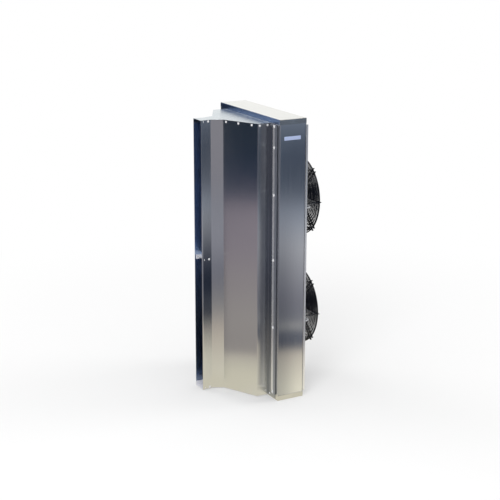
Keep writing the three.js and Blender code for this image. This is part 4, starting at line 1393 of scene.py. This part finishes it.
@dataclass(frozen=True)
class StudioCamera:
    """The camera at the photograph's viewing angle. Its angles are in degrees."""

    place: Point3 = (5.793, -3.277, 2.654)
    yaw: float = -61.05
    pitch: float = 15.845
    roll: float = 0.13
    lens: float = 89.84
    sensor: float = 36.0
    sight: float = 100.0

    def build(self) -> None:
        """Creates the camera and makes it the scene's own."""
        yaw, pitch, roll = math.radians(self.yaw), math.radians(self.pitch), math.radians(self.roll)
        ahead = Vector((math.sin(yaw) * math.cos(pitch), math.cos(yaw) * math.cos(pitch), -math.sin(pitch)))
        level = Vector((math.cos(yaw), -math.sin(yaw), 0.0))
        rise = level.cross(ahead)
        right = level * math.cos(roll) + rise * math.sin(roll)
        up = rise * math.cos(roll) - level * math.sin(roll)
        data = bpy.data.cameras.new("studio_camera")
        data.lens = self.lens
        data.sensor_width = self.sensor
        data.clip_end = self.sight
        camera = bpy.data.objects.new("studio_camera", data)
        turn = Matrix((right, up, -ahead)).transposed().to_4x4()
        camera.matrix_world = Matrix.Translation(self.place) @ turn
        bpy.context.scene.collection.objects.link(camera)
        bpy.context.scene.camera = camera


@dataclass(frozen=True)
class SoftLamp:
    """A large square lamp that looks at the middle of the unit."""

    name: str
    place: Point3
    power: float
    side: float = 2.0
    target: Point3 = (0.0, 0.0, 0.8)

    def build(self) -> None:
        """Adds the lamp to the scene."""
        data = bpy.data.lights.new(self.name, "AREA")
        data.energy = self.power
        data.size = self.side
        lamp = bpy.data.objects.new(self.name, data)
        lamp.location = self.place
        aim = Vector(self.target) - Vector(self.place)
        lamp.rotation_euler = aim.to_track_quat("-Z", "Y").to_euler()
        bpy.context.scene.collection.objects.link(lamp)


@dataclass(frozen=True)
class FloorSector:
    """A sector of the mirrored floor, whose colour blends from ring to ring with the distance.

    A ring is its distance from the unit and its colour. The sector lies towards its azimuth in degrees,
    and shows from one cosine of the angle to it to another. The colours were first worked out from mean
    tones measured in the photograph, and then changed.
    """

    rings: tuple[tuple[float, Colour], ...]
    azimuth: float = 0.0
    cosines: Point2 = (0.0, 1.0)


@dataclass(frozen=True)
class StudioRoom:
    """A plain pale floor and white surroundings, and the darker room that only bright metal mirrors."""

    floor_half: float = 60.0
    floor_colour: Colour = (0.9, 0.9, 0.9)
    floor_roughness: float = 0.9
    floor_fade: Point2 = (0.9, 3.2)
    floor_lift: float = 0.1
    mirror_half: float = 40.0
    mirror_z: float = -0.002
    ring_reach: float = 10.0
    front: FloorSector = FloorSector((
        (0.49, (0.68, 0.64, 0.51)), (0.76, (0.55, 0.51, 0.43)), (0.86, (0.31, 0.285, 0.27)),
        (1.43, (0.33, 0.305, 0.29)), (3.22, (0.26, 0.23, 0.26)), (4.51, (0.28, 0.245, 0.28)),
        (4.89, (0.03, 0.042, 0.075)), (7.64, (0.012, 0.022, 0.038))))
    side: FloorSector = FloorSector((
        (0.47, (0.74, 0.70, 0.57)), (1.01, (0.52, 0.47, 0.40)), (1.12, (0.09, 0.10, 0.13)),
        (1.38, (0.09, 0.10, 0.13)), (1.49, (0.43, 0.42, 0.40)), (1.6, (0.16, 0.165, 0.19)),
        (2.08, (0.18, 0.18, 0.21)), (3.33, (0.37, 0.375, 0.40)), (4.43, (0.25, 0.28, 0.34)),
        (5.19, (0.045, 0.058, 0.085)), (8.1, (0.035, 0.048, 0.075)), (9.2, (0.18, 0.215, 0.275))),
        azimuth=29.0, cosines=(0.1, 0.8))
    near: FloorSector = FloorSector((
        (0.47, (0.70, 0.66, 0.54)), (1.1, (0.52, 0.46, 0.39)), (1.6, (0.26, 0.25, 0.25)),
        (2.3, (0.15, 0.155, 0.19)), (3.33, (0.29, 0.29, 0.33)), (4.43, (0.25, 0.26, 0.30)),
        (5.19, (0.24, 0.232, 0.26)), (7.68, (0.27, 0.262, 0.288))),
        azimuth=-34.0, cosines=(0.82, 0.97))
    dark_wall: Colour = (0.02, 0.03, 0.05)
    pale_wall: Colour = (1.05, 1.05, 1.03)
    blue_wall: Colour = (0.19, 0.24, 0.36)
    ceiling: Colour = (0.7, 0.7, 0.7)
    pale_edge: Point2 = (-0.2, 0.2)
    dark_edge: Point2 = (-0.6, -0.35)
    ceiling_edge: Point2 = (0.45, 0.7)
    ambient: Colour = (0.8, 0.8, 0.8)
    lamps: tuple[SoftLamp, ...] = (
        SoftLamp("key_lamp", (3.0, -3.0, 4.4), 80.0), SoftLamp("fill_lamp", (-3.4, -2.2, 4.4), 40.0),
        SoftLamp("rear_lamp", (1.2, 4.0, 4.4), 50.0))

    def build(self) -> None:
        """Builds the floor, the mirrored room, the surroundings and the lamps."""
        self.build_floor()
        self.build_mirrored_floor()
        self.build_world()
        for lamp in self.lamps:
            lamp.build()
        bpy.context.scene.view_settings.view_transform = "Standard"

    def plane(self, shading: Shading, half: float, z: float) -> bpy.types.Object:
        """Adds a level square of the stage, named as its material.

        Args:
            shading: The square's finished node tree.
            half: Half its side.
            z: Its height.

        Returns:
            The new object.
        """
        shape = bmesh.new()
        corners = [(-half, -half), (half, -half), (half, half), (-half, half)]
        shape.faces.new([shape.verts.new((x, y, z)) for x, y in corners])
        square = to_scene(shading.material.name, shape)
        square.data.materials.append(shading.material)
        return square

    def build_floor(self) -> None:
        """Builds the pale floor that the camera sees, which fades to white and keeps its shadow."""
        shading = Shading("pale_floor")
        shading.put({
            "Base Color": self.floor_colour, "Roughness": self.floor_roughness, "Specular IOR Level": 0.0})
        seen = shading.add("LightPath", {}).outputs["Is Camera Ray"]
        fade = shading.between(shading.length(), *self.floor_fade, self.floor_lift)
        white = shading.add("Emission", {"Color": WHITE}).outputs["Emission"]
        shares = {"Fac": shading.product(seen, fade), 1: shading.shader.outputs["BSDF"], 2: white}
        shading.show(shading.add("MixShader", shares).outputs["Shader"])
        self.plane(shading, self.floor_half, 0.0).visible_glossy = False

    def ramp(self, shading: Shading, sector: FloorSector, share: Socket) -> Socket:
        """Adds the colours of a sector's rings.

        Args:
            shading: The mirrored floor's node tree.
            sector: The sector.
            share: The distance from the unit as a share of the reach.

        Returns:
            The colour socket.
        """
        ramp = shading.add("ValToRGB", {"Fac": share})
        stops = ramp.color_ramp.elements
        while len(stops) < len(sector.rings):
            stops.new(0.5)
        for stop, (distance, colour) in zip(stops, sector.rings):
            stop.position = distance / self.ring_reach
            stop.color = (*colour, 1.0)
        return ramp.outputs["Color"]

    def build_mirrored_floor(self) -> None:
        """Builds the room floor that only the metal mirrors: a pale mat, a grey floor and dark drapes."""
        shading = Shading("mirrored_floor")
        inputs = {0: shading.length(), 1: self.ring_reach}
        share = shading.add("Math", inputs, operation="DIVIDE").outputs["Value"]
        heading = shading.add("VectorMath", {0: shading.place}, operation="NORMALIZE").outputs["Vector"]
        floor = self.ramp(shading, self.front, share)
        for sector in (self.side, self.near):
            azimuth = math.radians(sector.azimuth)
            inputs = {0: heading, 1: (math.cos(azimuth), math.sin(azimuth), 0.0)}
            towards = shading.add("VectorMath", inputs, operation="DOT_PRODUCT").outputs["Value"]
            shown = shading.between(towards, *sector.cosines)
            floor = shading.mix(shown, floor, self.ramp(shading, sector, share))
        shading.show(shading.add("Emission", {"Color": floor}).outputs["Emission"])
        mirrored = self.plane(shading, self.mirror_half, self.mirror_z)
        mirrored.visible_camera = False
        mirrored.visible_diffuse = False
        mirrored.visible_shadow = False
        mirrored.visible_transmission = False

    def build_world(self) -> None:
        """Builds the surroundings: white to the camera, and a soft studio to everything else."""
        world = bpy.data.worlds.new("white_studio")
        world.use_nodes = True
        bpy.context.scene.world = world
        graph = Graph(world.node_tree)
        direction = graph.add("TexCoord", {}).outputs["Generated"]
        room = self.blue_wall
        for axis, edge, beyond in (
                (Axis.Y, self.pale_edge, self.pale_wall), (Axis.X, self.dark_edge, self.dark_wall),
                (Axis.Z, self.ceiling_edge, self.ceiling)):
            room = graph.mix(graph.between(graph.component(direction, axis), *edge), room, beyond)
        path = graph.add("LightPath", {}).outputs
        lit = graph.mix(path["Is Glossy Ray"], self.ambient, room)
        seen = graph.mix(path["Is Camera Ray"], lit, WHITE)
        graph.fill(graph.nodes["Background"].inputs["Color"], seen)


def main() -> None:
    """Builds the studio and the unit's pieces."""
    logging.basicConfig(level=logging.INFO, format="%(message)s")
    for builder in (
            StudioCamera(), StudioRoom(), FoldedCasing(), OutletPlenum(), ElectricsBay(),
            AxialFan("lower_fan", Body.LOWER_ROTOR), AxialFan("upper_fan", Body.UPPER_ROTOR), BarePlate()):
        builder.build()
        LOG.info("built %s", type(builder).__name__)


if __name__ == "__main__":
    main()
